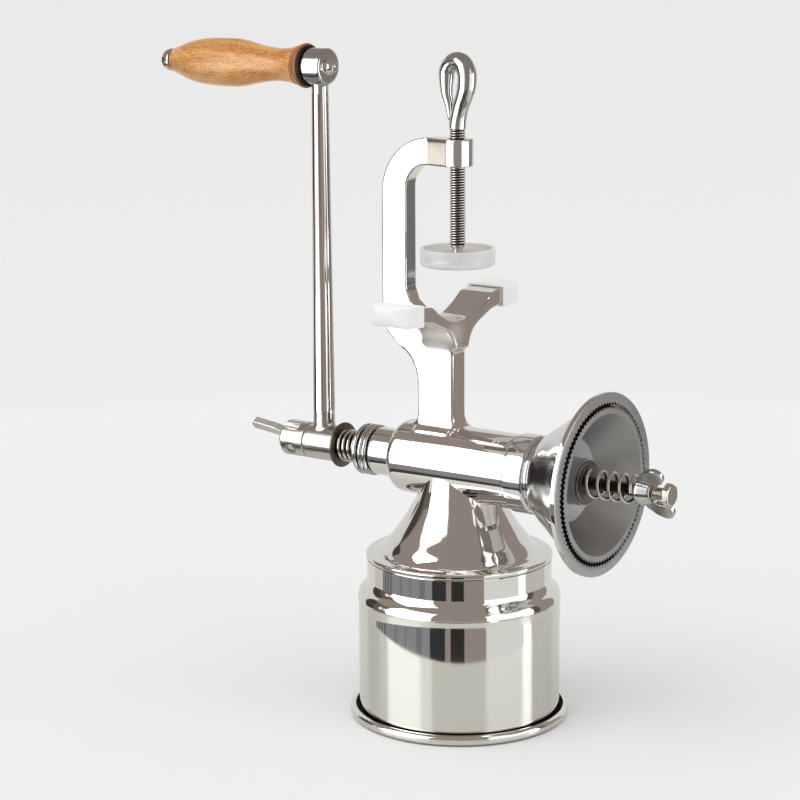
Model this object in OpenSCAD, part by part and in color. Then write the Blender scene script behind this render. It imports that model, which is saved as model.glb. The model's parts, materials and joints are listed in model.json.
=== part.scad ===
// Hand crank grain mill, standing on the mouth of its hopper.
// Millimetres. Z is up, X runs along the crank shaft towards the grinding bell,
// the origin is the centre of the hopper's mouth on the surface it stands on.

/* [Hopper] */
// outside diameter of the hopper's wall
hopper_d = 101.8; // [90:0.2:120]
// outside diameter of the rolled bead at the mouth
bead_d = 110; // [96:0.5:130]
// height of the bead
bead_t = 5.1; // [4:0.1:8]
// thickness of the spun sheet
sheet_t = 0.8; // [0.5:0.1:1.5]
// height at which the wall ends and the shoulder starts
wall_top = 61.6; // [50:0.2:66]
// height at which the shoulder has run into the neck
neck_z = 71.2; // [68:0.2:73]
// outside diameter of the neck
neck_d = 92.6; // [84:0.2:98]
// height of the neck's open end, under the body's flange
flange_z = 81.4; // [78:0.2:84]

/* [Mill body] */
// height of the shaft's axis
shaft_z = 129; // [124:0.5:134]
// outside diameter of the barrel
barrel_d = 37; // [34:0.5:42]
// distance from the hopper's axis to the barrel's rear face
barrel_rear = 34; // [31:0.5:40]
// distance from the hopper's axis to the barrel's front face
barrel_front = 37.2; // [34:0.2:40]
// diameter of the bore that the auger turns in
bore_d = 29.2; // [26:0.2:30]
// diameter of the rear neck
rear_neck_d = 24.4; // [22:0.2:28]
// thickness of the flange
flange_t = 2.5; // [2:0.1:4]
// depth of the spigot that enters the hopper's neck
spigot_h = 7.5; // [5:0.5:9]

/* [Clamp frame] */
// width of the trunk along X
trunk_w = 21; // [18:0.5:26]
// thickness of the trunk along Y
trunk_t = 12.4; // [10:0.2:16]
// width of the post along X
post_w = 14.6; // [12:0.2:18]
// thickness of the post along Y
post_t = 9.2; // [7:0.2:12]
// distance from the screw's axis to the post's inner face
throat = 27.8; // [26:0.2:36]
// height of the top of the frame
frame_z = 290; // [280:1:310]
// thickness of the top arm
arm_t = 13.5; // [11:0.5:16]
// diameter of the boss that the screw runs in
boss_d = 15.8; // [14:0.2:20]
// half span of the two feet across the fork
fork_half = 52.5; // [44:0.5:60]
// height of the saddle between the two feet
saddle_z = 201.2; // [198:0.2:204]
// height of the top of the feet at their ends
feet_z = 213; // [211:0.2:218]
// width of the fork along X
fork_w = 19.2; // [16:0.2:24]
// thickness of the sleeves on the feet
cap_t = 1.3; // [1:0.1:2.5]

/* [Clamp screw] */
// diameter of the screw
screw_d = 8.3; // [7:0.1:9.5]
// length of straight rod between the frame's top and the eye
loop_rise = 9; // [7:0.5:14]
// outside radius of the eye
eye_r = 11.2; // [9:0.2:14]
// diameter of the pad
pad_d = 36.8; // [30:0.2:44]
// height of the pad's face above the stand
pad_z = 228; // [224:0.5:246]
// height of the pad's cup
pad_h = 8.8; // [7:0.2:12]

/* [Grinding head] */
// outside diameter of the bell's lip
lip_d = 89.4; // [84:0.2:96]
// distance from the hopper's axis to the bell's face
face_x = 83; // [80:0.5:88]
// diameter of the tips of the inner ring of teeth
burr_d = 76; // [70:0.5:78]
// number of fine teeth on each ring
teeth = 96; // [48:4:120]
// number of coarse furrows on each cone
furrows = 12; // [6:1:16]
// diameter of the dish's opening
dish_d = 69; // [60:0.5:70]
// diameter of the dish's flat bottom
dish_floor_d = 41; // [34:0.5:46]
// diameter of the burr's boss
burr_boss_d = 23; // [20:0.2:26]

/* [Shaft and springs] */
// diameter of the shaft
shaft_d = 12; // [10:0.2:14]
// pitch of the auger's flight
auger_pitch = 22; // [16:1:30]
// outside diameter of the rear spring
rear_spring_d = 16.8; // [15:0.2:20]
// outside diameter of the front spring
front_spring_d = 14.8; // [13:0.2:17]
// diameter of the tension bolt
bolt_d = 6; // [5:0.2:7]

/* [Crank] */
// distance between the shaft's axis and the grip's axis
crank_l = 192.7; // [150:0.5:220]
// diameter of the crank's hub
hub_d = 18.6; // [16:0.2:24]
// length of the crank's hub
hub_l = 19.8; // [16:0.2:26]
// diameter of the arm at the hub
arm_d1 = 11.3; // [9:0.1:14]
// diameter of the arm at the eye
arm_d2 = 8.5; // [6:0.1:11]
// diameter of the eye that holds the grip's axle
eye_d = 18.3; // [15:0.1:22]
// length of the grip
grip_l = 87; // [70:0.5:110]
// largest diameter of the grip
grip_d = 24.8; // [20:0.2:30]

/* [Hidden] */

$fn = 64;
fine = 96;
run = 0.06;
seat = 0.02;
eps = 0.01;

steel = [0.78, 0.78, 0.8];
grey = [0.5, 0.5, 0.52];
wood = [0.82, 0.55, 0.27];
soft = [0.95, 0.95, 0.95];

hopper_r = hopper_d / 2;
neck_r = neck_d / 2;
bead_r = bead_t / 2;
bead_flat = 0.1;
shoulder_h = neck_z - wall_top;
shoulder_a = 2 * atan((hopper_r - neck_r) / shoulder_h);
shoulder_r = shoulder_h / (2 * sin(shoulder_a));

spigot_r = neck_r - sheet_t - run;
spigot_t = 2.4;
flange_r = neck_r + 0.4;
flange_top = flange_z + flange_t;

screw_x = -0.8;
post_in = screw_x - throat;
post_out = post_in - post_w;
trunk_front = 0;
trunk_rear = trunk_front - trunk_w;
outer_corner = 28;
inner_corner = 12;
arm_z = frame_z - arm_t;
flare_l = 15;
frame_foot = shaft_z + barrel_d / 2 + 6;
loop_z = frame_z + loop_rise;
fork_mid = -7.2;
foot_t = 8.2;
foot_drop = 0.9;
foot_top_r = 0.8;
sleeve_in = 34.3;
foot_edge_r = 5.5;
foot_corner_r = 6.7;

barrel_r = barrel_d / 2;
bore_r = bore_d / 2;
shaft_r = shaft_d / 2;
neck_end = 48.2;
neck_bore_r = 9;
rear_wall = 4;

washer_x = -72.3;
washer_t = 1.3;
collar_x = -57.6;
hub_x = washer_x - hub_l;
arm_x = -83.7;
eye_x0 = -89.6;
eye_x1 = -78.1;
head_l = 15.5;
head_x = hub_x - head_l;
lever_x = -99.8;
lever_u = 1.6;
lever_tilt = 12.2;
lever_lean = 36;
lever_t = 4;
lever_h = 3.9;
lever_l = 25.2;

lip_r = lip_d / 2;
lip_t = 2.8;
cone_x = 50;
tooth_h = 1.4;
burr_r = burr_d / 2;
ring_gap = 0.9;
land_l = 3;
burr_small_r = 15.4;
cone_gap = 0.5;
ring_r = burr_r + ring_gap + tooth_h + 0.7;
throat_r = barrel_r + 1.1;
throat_x = cone_x + 2;
mouth_r = ring_r - 2;
mouth_x = face_x - 4;
floor_x = 65.4;
boss_x = 73.8;
washer_large_t = 0.8;
washer_small_t = 0.6;
nut_x = 102.4;
nut_l = 8;
head_front_x = 117.2;
bolt_head_t = 3.3;
bolt_in = 12;
auger_x0 = -29.6;
auger_x1 = 49.5;
auger_core_r = 8.2;
spring_x = boss_x + washer_large_t + washer_small_t;

eye_z = shaft_z + crank_l;
grip_x1 = -91.3;
grip_x0 = grip_x1 - grip_l;
axle_r = 3;
grip_cap_x = -186.2;

function arc(cx, cy, r, a0, a1, n) =
    [for (i = [0:n]) [cx + r * cos(a0 + (a1 - a0) * i / n), cy + r * sin(a0 + (a1 - a0) * i / n)]];
function back(v) = [for (i = [len(v) - 1:-1:0]) v[i]];

// turned about the hopper's axis, points are radius and height
module spun(points) {
    rotate_extrude($fn = fine) polygon(points);
}

// turned about the shaft's axis, points are radius and X
module turned(points) {
    translate([0, 0, shaft_z]) rotate([0, 90, 0]) rotate_extrude($fn = fine) polygon(points);
}

// turned about the grip's axis, points are radius and X
module turned_grip(points) {
    translate([0, 0, eye_z]) rotate([0, 90, 0]) rotate_extrude($fn = fine) polygon(points);
}

// round bar along X at a height
module bar_x(x0, x1, r, z = shaft_z) {
    translate([x0, 0, z]) rotate([0, 90, 0]) cylinder(h = x1 - x0, r = r);
}

// plate of an outline in X and Z, centred on Y
module plate_xz(t) {
    translate([0, t / 2, 0]) rotate([90, 0, 0]) linear_extrude(height = t) children();
}

// plate of an outline in Y and Z, from X0 to X1
module plate_yz(x0, x1) {
    translate([x0, 0, 0]) rotate([90, 0, 90]) linear_extrude(height = x1 - x0) children();
}

// tapered round bar between two points
module strut(p, q, r0, r1) {
    d = q - p;
    l = norm(d);
    translate(p) rotate([0, acos(d[2] / l), atan2(d[1], d[0])]) cylinder(h = l, r1 = r0, r2 = r1);
}

// round wire wound along X
module coil(x0, x1, mean_r, wire_r, turns, steps = 20, sides = 8) {
    n = round(turns * steps);
    rise = x1 - x0 - 2 * wire_r;
    ring = [for (i = [0:n], k = [0:sides - 1])
        let (a = 360 * turns * i / n, b = 360 * k / sides, r = mean_r + wire_r * cos(b))
        [x0 + wire_r + rise * i / n + wire_r * sin(b), r * cos(a), shaft_z + r * sin(a)]];
    skin = [for (i = [0:n - 1], k = [0:sides - 1])
        let (a = i * sides + k, b = i * sides + (k + 1) % sides)
        [a, b, b + sides, a + sides]];
    first = [for (k = [sides - 1:-1:0]) k];
    last = [for (k = [0:sides - 1]) n * sides + k];
    polyhedron(points = ring, faces = concat([first], skin, [last]), convexity = 8);
}

function hopper_side(d) = concat(
    [[hopper_r - d, bead_r]],
    arc(hopper_r - shoulder_r, wall_top, shoulder_r - d, 0, shoulder_a, 6),
    arc(neck_r + shoulder_r, neck_z, shoulder_r + d, 180 + shoulder_a, 180, 6),
    [[neck_r - d, flange_z]]);

// spun hopper with a rolled bead at its mouth
module hopper() {
    color(steel) rotate_extrude($fn = fine) {
        polygon(concat(hopper_side(0), back(hopper_side(sheet_t))));
        intersection() {
            translate([bead_d / 2 - bead_r, bead_r - bead_flat]) circle(bead_r, $fn = 24);
            translate([hopper_r - sheet_t, 0]) square([2 * bead_t, bead_t]);
        }
        translate([hopper_r - sheet_t, 0]) square([bead_d / 2 - bead_r - hopper_r + sheet_t, bead_r]);
    }
}

// height at a share of the way from the flange to the shaft
function up(t) = flange_top + t * (shaft_z - flange_top);

function inlet_side() = [
    [flange_r, flange_z], [flange_r, flange_top - 0.5], [flange_r - 0.5, flange_top],
    [42, flange_top + 0.3], [39.6, flange_top + 1.3], [38, flange_top + 3.1],
    [35.3, up(0.146)], [31.7, up(0.246)], [27.6, up(0.379)], [24, up(0.512)],
    [21.8, up(0.601)], [20.2, up(0.69)], [19, up(0.778)], [barrel_r - 0.3, up(0.889)],
    [0, up(0.889)]];

function inlet_hole() = [
    [0, flange_z - spigot_h - 1], [spigot_r - spigot_t, flange_z - spigot_h - 1],
    [spigot_r - spigot_t, flange_z - 1], [39.5, flange_z + 1], [35.6, up(0.047)],
    [32.2, up(0.146)], [28.6, up(0.246)], [24.4, up(0.379)], [20.9, up(0.512)],
    [18, up(0.612)], [15.4, up(0.734)], [14, up(0.823)], [14, shaft_z], [0, shaft_z]];

// outline of trunk, post and top arm
module spine_outline() {
    top = arc(post_out + outer_corner, frame_z - outer_corner, outer_corner, 90, 180, 10);
    inner = arc(post_in + inner_corner, arm_z - inner_corner, inner_corner, 180, 90, 8);
    polygon(concat(
        [[trunk_front, shaft_z + 6], [trunk_front, saddle_z - 12.2],
         [trunk_front + 1, saddle_z - 6.2], [trunk_front + 2.2, saddle_z]],
        [[post_in + 12.6, saddle_z + 1.2], [post_in + 7.6, saddle_z + 3.3],
         [post_in + 2.4, saddle_z + 7.8], [post_in, saddle_z + 14]],
        inner,
        [[screw_x, arm_z], [screw_x, frame_z]],
        top,
        [[post_out, saddle_z - 0.2], [post_out + 1.7, saddle_z - 6],
         [post_out + 5.4, saddle_z - 10.7], [post_out + 11.5, saddle_z - 15.2],
         [trunk_rear - 4.2, saddle_z - 21.2], [trunk_rear - 1.3, saddle_z - 25.8],
         [trunk_rear, saddle_z - 31.7], [trunk_rear, shaft_z + 6]]));
}

// side view that thins the spine from trunk to post
module spine_side() {
    a = trunk_t / 2;
    b = post_t / 2;
    polygon([[-a, shaft_z], [a, shaft_z], [a, saddle_z - 15.2],
             [b, saddle_z + 4.8], [b, frame_z + 1], [-b, frame_z + 1], [-b, saddle_z + 4.8],
             [-a, saddle_z - 15.2]]);
}

function saddle_top() = [
    [0, saddle_z], [5, saddle_z + 0.3], [9, saddle_z + 1.1], [13.2, saddle_z + 2.6],
    [17.5, saddle_z + 4.7], [22, saddle_z + 7.6], [26, saddle_z + 9.9]];

function saddle_under() = [
    [26, saddle_z + 1.4], [21, saddle_z - 0.6],
    [14, saddle_z - 3.4], [10.2, saddle_z - 6.3], [trunk_t / 2 + 1.4, saddle_z - 9.8],
    [trunk_t / 2, saddle_z - 14.7]];

// side of one foot, grown by g
function foot_side(g) = concat(
    [[sleeve_in, feet_z - foot_drop + g]],
    arc(fork_half - foot_top_r, feet_z - foot_top_r, foot_top_r + g, 90, 0, 2),
    arc(fork_half - foot_edge_r, feet_z - foot_t + foot_edge_r, foot_edge_r + g, 0, -90, 6),
    [[sleeve_in, feet_z - foot_drop - foot_t - g]]);

// outline of the fork with its two feet
module fork_outline() {
    side = concat(saddle_top(), foot_side(0), saddle_under());
    polygon(concat(side, [for (p = back(side)) [-p[0], p[1]]]));
}

// fork seen from above, grown by g, as tall as the whole part
module fork_plan(g) {
    c = foot_corner_r;
    x = fork_w / 2 - c;
    y = fork_half - c;
    side = concat(arc(fork_mid + x, y, c + g, 0, 90, 6), arc(fork_mid - x, y, c + g, 90, 180, 6));
    linear_extrude(height = frame_z)
        polygon(concat(side, [for (p = back(side)) [p[0], -p[1]]]));
}

// one foot of the fork, grown by g
module foot_form(g) {
    intersection() {
        plate_yz(fork_mid - fork_w, fork_mid + fork_w) polygon(foot_side(g));
        fork_plan(g);
    }
}

// concave fillet in the corner of two plates
module web(r) {
    difference() {
        square(r);
        translate([r, r]) circle(r, $fn = 48);
    }
}

// trunk, post and top arm, from the shaft's height up
module spine() {
    intersection() {
        plate_xz(trunk_t) spine_outline();
        plate_yz(post_out - 1, boss_d) spine_side();
    }
}

// everything above the height where the trunk's foot ends
module above_foot() {
    translate([post_out - 1, -fork_half, frame_foot])
        cube([barrel_front - post_out, 2 * fork_half, frame_z]);
}

// block of space that the fork takes up
module fork_zone() {
    plate_yz(fork_mid - fork_w / 2, fork_mid + fork_w / 2)
        translate([-fork_half, saddle_z - 14.7]) square([2 * fork_half, 27]);
}

// casting: barrel, rear neck, inlet cone and the foot of the trunk
module mill_body() {
    foot_z = shaft_z + barrel_r;
    color(steel) difference() {
        union() {
            turned([[0, -barrel_rear], [barrel_r - 5, -barrel_rear],
                    [barrel_r - 2.4, 0.8 - barrel_rear], [barrel_r - 0.8, 2.4 - barrel_rear],
                    [barrel_r, 5 - barrel_rear], [barrel_r, barrel_front], [0, barrel_front]]);
            bar_x(-neck_end, -barrel_rear + 1, rear_neck_d / 2);
            spun(concat([[0, flange_z - spigot_h],
                         [spigot_r - 0.5, flange_z - spigot_h],
                         [spigot_r, flange_z - spigot_h + 0.5], [spigot_r, flange_z]],
                        inlet_side()));
            difference() {
                spine();
                above_foot();
            }
            plate_xz(trunk_t) translate([trunk_front - eps, foot_z - 0.6]) web(6);
            plate_xz(trunk_t) translate([trunk_rear + eps, foot_z - 0.6]) mirror([1, 0]) web(6);
            for (s = [0, 1]) mirror([0, s, 0]) plate_yz(trunk_rear, trunk_front)
                translate([trunk_t / 2 - eps, foot_z - 1.9]) web(5);
        }
        bar_x(-barrel_rear + rear_wall, barrel_front + 1, bore_r);
        bar_x(-barrel_rear - 1, 0, shaft_r + run);
        bar_x(-neck_end - 1, -barrel_rear, neck_bore_r);
        spun(inlet_hole());
    }
}

// wedge that widens the top arm to the sides of the boss
module boss_flare() {
    r = boss_d / 2 - seat;
    root = [-flare_l, post_t / 2];
    a = atan2(root[1], root[0]) - acos(r / norm(root));
    side = [root, [r * cos(a), r * sin(a)]];
    translate([screw_x, 0, arm_z + seat]) linear_extrude(height = arm_t - 2 * seat)
        polygon(concat(side, [for (p = back(side)) [p[0], -p[1]]]));
}

// upper trunk, post and top arm with the boss of the clamp screw
module clamp_frame() {
    color(steel) difference() {
        union() {
            intersection() {
                spine();
                above_foot();
            }
            translate([screw_x, 0, arm_z]) cylinder(h = arm_t, r = boss_d / 2);
            boss_flare();
        }
        fork_zone();
        translate([screw_x, 0, arm_z - 1]) cylinder(h = arm_t + 2, r = screw_d / 2 + run);
    }
}

// fork with the two feet that lie against the table
module foot_fork() {
    color(steel) union() {
        intersection() {
            plate_yz(fork_mid - fork_w, fork_mid + fork_w) fork_outline();
            fork_plan(0);
        }
        intersection() {
            spine();
            fork_zone();
        }
    }
}

// radius of the bell's inner cone at a place along the shaft
function cone_r(x) = throat_r + (x - throat_x) * (mouth_r - throat_r) / (mouth_x - throat_x);

// outer radius of the bell at a share of the cone's length, with a wall of that thickness
function flare(t, wall) =
    let (x = throat_x + t * (mouth_x - throat_x)) [cone_r(x) + wall, x];

// flared head that bolts on the barrel's front
module bell_head() {
    color(steel) turned([
        [barrel_r + 0.3, barrel_front], [barrel_r + 1.1, barrel_front + 0.8],
        [barrel_r + 1.1, cone_x - 0.6], [barrel_r + 0.5, cone_x + 0.4], flare(0.015, 1.5),
        flare(0.22, 1.3), flare(0.44, 1.1), flare(0.67, 1.15), flare(0.89, 1.2),
        flare(1, 1.4), [ring_r + 0.6, face_x - lip_t],
        [lip_r - 0.4, face_x - lip_t], [lip_r, face_x - lip_t + 0.4], [lip_r, face_x - 0.4],
        [lip_r - 0.4, face_x], [ring_r + seat, face_x], [ring_r + seat, face_x - lip_t + 0.6],
        [mouth_r, mouth_x], [throat_r, throat_x], [throat_r - 2, cone_x - 1],
        [bore_r + 0.2, cone_x - 1], [bore_r + 0.2, barrel_front]]);
}

// ring outline with pointed teeth
module star(r_tip, r_root) {
    polygon([for (i = [0:2 * teeth - 1])
        let (r = i % 2 == 0 ? r_tip : r_root, a = 180 * i / teeth)
        [r * cos(a), r * sin(a)]]);
}

// cutters for the coarse furrows, along a cone
module furrow_set(r0, r1, x0, x1, w, skew) {
    slope = atan((r1 - r0) / (x1 - x0));
    l = norm([r1 - r0, x1 - x0]);
    for (i = [0:furrows - 1])
        translate([0, 0, shaft_z]) rotate([360 * i / furrows, 0, 0])
            translate([x0, 0, r0]) rotate([0, -slope, 0]) rotate([0, 0, skew])
                rotate([45, 0, 0]) translate([0, -w / 2, -w / 2]) cube([l, w, w]);
}

// fixed ring with teeth on the inside of its cone
module outer_burr() {
    tip = burr_r + ring_gap;
    color(grey) difference() {
        turned([[ring_r, face_x], [ring_r, face_x - lip_t + 0.65],
                [mouth_r - seat, mouth_x + 0.1], [throat_r - seat, throat_x + 0.1],
                [throat_r - 2 - seat, cone_x - 0.9], [burr_small_r, cone_x - 0.9],
                [tip - 0.2, face_x - land_l], [tip - 0.2, face_x]]);
        translate([face_x - land_l, 0, shaft_z]) rotate([0, 90, 0])
            linear_extrude(height = land_l + 1) star(tip + tooth_h, tip);
        furrow_set(burr_small_r, tip - 0.4, cone_x, face_x - land_l, 1.3, 14);
    }
}

// turning cone with teeth outside and a dish in its face
module inner_burr() {
    small = burr_small_r - cone_gap;
    big = burr_r - cone_gap - 0.3;
    color(grey) difference() {
        union() {
            turned([[0, cone_x + 0.4], [small, cone_x + 0.4], [big, face_x - land_l + 0.4],
                    [big, face_x - land_l + 1], [0, face_x - land_l + 1]]);
            translate([face_x - land_l + 0.4, 0, shaft_z]) rotate([0, 90, 0])
                linear_extrude(height = land_l + 0.1) star(burr_r, burr_r - tooth_h);
        }
        turned([[burr_boss_d / 2, floor_x], [dish_floor_d / 2, floor_x],
                [dish_d / 2, face_x + 0.6], [burr_boss_d / 2, face_x + 1]]);
        bar_x(boss_x, face_x + 1, burr_boss_d / 2 + 1);
        furrow_set(small, big, cone_x + 2, face_x - land_l, 2.2, -14);
        bar_x(cone_x - 1, boss_x + 1, shaft_r + seat);
    }
}

// one rounded ridge of the rear collar, with its own width
function ridge(x, w) = [[12.2, x], [12.9, x + 0.4], [13.1, x + 1], [13.1, x + w - 1],
                        [12.9, x + w - 0.4], [12.2, x + w]];

// ridged collar on the rear neck
module rear_collar() {
    deep = 10.5;
    color(steel) turned(concat(
        [[shaft_r + run, collar_x]], ridge(collar_x, 2.6),
        [[deep, collar_x + 2.7], [deep, collar_x + 3.5]], ridge(collar_x + 3.6, 2.4),
        ridge(collar_x + 6.2, 2.3),
        [[deep, collar_x + 8.6], [deep, -neck_end], [neck_bore_r - seat, -neck_end],
         [neck_bore_r - seat, -barrel_rear - 1], [shaft_r + run, -barrel_rear - 1]]));
}

// soft sleeve on one foot, drawn on the far side
module sleeve() {
    difference() {
        foot_form(cap_t);
        foot_form(seat);
        translate([fork_mid - fork_w, 0, 0]) cube([2 * fork_w, sleeve_in + 0.6, frame_z]);
    }
}

module foot_cap_far() {
    color(soft) sleeve();
}

module foot_cap_near() {
    color(soft) mirror([0, 1, 0]) sleeve();
}

pad_floor = 2.6;
disc_z = pad_z + pad_floor;
disc_edge = 1.6;
disc_top = pad_z + 7.4;
neck_pin_r = 2.5;

// bent rod through a list of points, with a radius at each
module bent_rod(path, radii) {
    for (i = [0:len(path) - 2]) {
        strut(path[i], path[i + 1], radii[i], radii[i + 1]);
        translate(path[i + 1]) sphere(radii[i + 1] + 0.04);
    }
}

// clamp screw bent to an eye at its upper end
module clamp_screw() {
    r = screw_d / 2;
    w = r + 0.55;
    mid_r = eye_r - w;
    ring_z = loop_z + 21.7;
    foot_z = disc_top + 2.8;
    color(steel) translate([screw_x, 0, 0]) {
        translate([0, 0, disc_z + 0.4]) cylinder(h = 6.6, r = neck_pin_r);
        translate([0, 0, foot_z - 1.2]) cylinder(h = 1.2, r1 = r - 1.2, r2 = r);
        translate([0, 0, foot_z]) cylinder(h = loop_z - foot_z, r = r);
        rotate([0, 0, -10]) {
            translate([0, 0, ring_z]) rotate([90, 0, 0])
                rotate_extrude(angle = 180) translate([mid_r, 0]) circle(w);
            translate([mid_r, 0, ring_z]) sphere(w + 0.04);
            translate([-mid_r, 0, ring_z]) sphere(w + 0.04);
            bent_rod([[mid_r, 0, ring_z], [mid_r - 0.3, 0, ring_z - 5.3],
                      [mid_r - 1.9, 0, ring_z - 10.2], [mid_r - 3.8, 0, ring_z - 14.3],
                      [1.2, 0, ring_z - 18.5], [0, 0, loop_z - 1]], [w, w, r + 0.1, r, r, r]);
            bent_rod([[-mid_r, 0, ring_z], [-mid_r - 0.8, 0, ring_z - 8.6],
                      [-mid_r + 0.5, 0.4, ring_z - 14.3], [-mid_r + 1.3, 0.4, ring_z - 20.5],
                      [-mid_r + 1.4, 0.4, ring_z - 22.1]], [w, 3, 2.4, 1.5, 0.8]);
        }
    }
}

// domed metal disc that the screw's end turns in
module pad_disc() {
    r = pad_d / 2 - 1.9;
    color(grey) translate([screw_x, 0, 0]) spun([
        [neck_pin_r + run, disc_z], [r - 0.4, disc_z], [r, disc_z + 0.4],
        [r, disc_z + disc_edge], [r - 1.2, disc_z + disc_edge + 0.5], [9, disc_top - 1],
        [6, disc_top], [neck_pin_r + run, disc_top]]);
}

// soft cup under the disc
module pad_cup() {
    r = pad_d / 2;
    color(soft) translate([screw_x, 0, 0]) spun([
        [0, pad_z], [r - 1.6, pad_z], [r - 0.4, pad_z + 0.5], [r, pad_z + 1.8],
        [r, pad_z + pad_h - 0.6], [r - 0.6, pad_z + pad_h], [r - 1.2, pad_z + pad_h],
        [r - 1.6, pad_z + pad_h - 0.5], [r - 1.6, disc_z + disc_edge + 0.6],
        [r - 1.9 + seat, disc_z + disc_edge], [r - 1.9 + seat, disc_z], [0, disc_z]]);
}

// turned shaft, tapped at both ends
module shaft() {
    color(steel) difference() {
        turned([[0, hub_x + 0.4], [shaft_r - 0.5, hub_x + 0.4], [shaft_r, hub_x + 0.9],
                [shaft_r, boss_x - 0.8], [shaft_r - 0.5, boss_x - 0.3], [0, boss_x - 0.3]]);
        bar_x(hub_x, hub_x + 13, 4 + seat);
        bar_x(boss_x - bolt_in - 1, boss_x, bolt_d / 2 + seat);
    }
}

// screw flight that feeds the grain forward
module auger() {
    r = bore_r - 0.5;
    wide = 52;
    l = auger_x1 - auger_x0;
    color(steel) difference() {
        union() {
            bar_x(auger_x0, auger_x1, auger_core_r);
            translate([auger_x0 + 1, 0, shaft_z]) rotate([0, 90, 0])
                linear_extrude(height = l - 2, twist = 360 * (l - 2) / auger_pitch, slices = 56,
                               segments = 8)
                    polygon(concat(arc(0, 0, auger_core_r - 1, 0, wide, 2),
                                   back(arc(0, 0, r, 4, wide - 4, 4))));
        }
        bar_x(auger_x0 - 1, auger_x1 + 1, shaft_r + seat);
    }
}

module washer_large() {
    color(steel) difference() {
        bar_x(boss_x, boss_x + washer_large_t, 10.8);
        bar_x(boss_x - 1, boss_x + washer_large_t + 1, bolt_d / 2 + run);
    }
}

module washer_small() {
    color(steel) difference() {
        bar_x(boss_x + washer_large_t, spring_x, 8.4);
        bar_x(boss_x, spring_x + 1, bolt_d / 2 + run);
    }
}

module front_spring() {
    wire = 0.85;
    color(steel) coil(spring_x, nut_x, front_spring_d / 2 - wire, wire, 4.25, 18);
}

module rear_spring() {
    wire = 0.9;
    color(steel) coil(washer_x + washer_t, collar_x, rear_spring_d / 2 - wire, wire, 3.9, 18);
}

// hexagon bolt in the shaft's front end
module tension_bolt() {
    color(steel) {
        bar_x(boss_x - bolt_in, head_front_x, bolt_d / 2);
        intersection() {
            translate([head_front_x, 0, shaft_z]) rotate([0, 90, 0])
                cylinder(h = bolt_head_t, r = 5.8, $fn = 6);
            turned([[0, head_front_x - 1], [6, head_front_x - 1], [6, head_front_x + 2.6],
                    [4.9, head_front_x + bolt_head_t], [0, head_front_x + bolt_head_t]]);
        }
    }
}

// outline of one wing, X along the bolt and Z outwards
module wing_outline() {
    polygon([[nut_x + 0.4, 4], [nut_x + 6.6, 4], [nut_x + 9.4, 6.6], [nut_x + 14.6, 7.2],
             [nut_x + 10.4, 15.2], [nut_x + 6.4, 13.6], [nut_x + 2.4, 9.8], [nut_x + 0.6, 6.8]]);
    translate([nut_x + 11.8, 11]) circle(4.4, $fn = 40);
}

module wing_nut() {
    color(steel) difference() {
        union() {
            turned([[0, nut_x], [6.4, nut_x], [6.4, nut_x + 1.6], [5.2, nut_x + nut_l - 0.5],
                    [4.7, nut_x + nut_l], [0, nut_x + nut_l]]);
            for (s = [0, 180]) translate([0, 0, shaft_z]) rotate([32 + s, 0, 0])
                plate_xz(2.6) wing_outline();
        }
        bar_x(nut_x - 1, nut_x + nut_l + 6, bolt_d / 2 + run);
    }
}

module rear_washer() {
    color(steel) difference() {
        bar_x(washer_x, washer_x + washer_t, 11.6);
        bar_x(washer_x - 1, washer_x + washer_t + 1, shaft_r + seat);
    }
}

// hub, tapered arm and eye, forged in one
module crank() {
    color(steel) difference() {
        union() {
            turned([[0, hub_x], [hub_d / 2 - 0.5, hub_x], [hub_d / 2, hub_x + 0.5],
                    [hub_d / 2, washer_x - 0.5], [hub_d / 2 - 0.5, washer_x], [0, washer_x]]);
            translate([arm_x, 0, shaft_z]) cylinder(h = crank_l, r1 = arm_d1 / 2 + 0.1,
                                                    r2 = arm_d2 / 2);
            turned_grip([[0, eye_x0], [eye_d / 2 - 0.6, eye_x0], [eye_d / 2, eye_x0 + 0.6],
                         [eye_d / 2, eye_x1 - 0.6], [eye_d / 2 - 0.6, eye_x1], [0, eye_x1]]);
        }
        bar_x(hub_x - 1, washer_x + 1, shaft_r + seat);
        bar_x(eye_x0 - 1, eye_x1 + 1, axle_r + seat, eye_z);
    }
}

// slotted cap screw that holds the crank on the shaft
module lock_screw() {
    slot = lever_t + 0.3;
    color(steel) difference() {
        union() {
            turned([[0, head_x], [hub_d / 2 - 1.6, head_x], [hub_d / 2 - 0.1, head_x + 1.6],
                    [hub_d / 2 - 0.1, hub_x], [0, hub_x]]);
            bar_x(hub_x - 1, hub_x + 12, 4);
        }
        translate([0, 0, shaft_z]) rotate([lever_lean, 0, 0])
            translate([head_x - 1, -slot / 2, lever_u - 3.1])
                cube([lever_x + 3.4 - head_x + 1, slot, hub_d]);
        translate([0, 0, shaft_z]) rotate([lever_lean, 0, 0])
            translate([lever_x, -hub_d, lever_u]) rotate([-90, 0, 0])
                cylinder(h = 2 * hub_d, r = 2.3 + seat, $fn = 32);
    }
}

// folding bar in the slot
module lock_lever() {
    r = lever_h / 2;
    color(steel) translate([0, 0, shaft_z]) rotate([lever_lean, 0, 0])
        translate([lever_x, lever_t / 2, lever_u]) rotate([0, lever_tilt, 0]) rotate([90, 0, 0])
            difference() {
                linear_extrude(height = lever_t) union() {
                    circle(2.9, $fn = 32);
                    polygon([[0, -r + 0.2], [0, 2.9], [-8, r + 0.3], [-lever_l, r + 0.2],
                             [-lever_l, -r - 0.2]]);
                    translate([-lever_l, 0]) circle(r + 0.2, $fn = 32);
                }
                translate([0, 0, -1]) cylinder(h = lever_t + 2, r = 1.5 + run, $fn = 32);
            }
}

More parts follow.
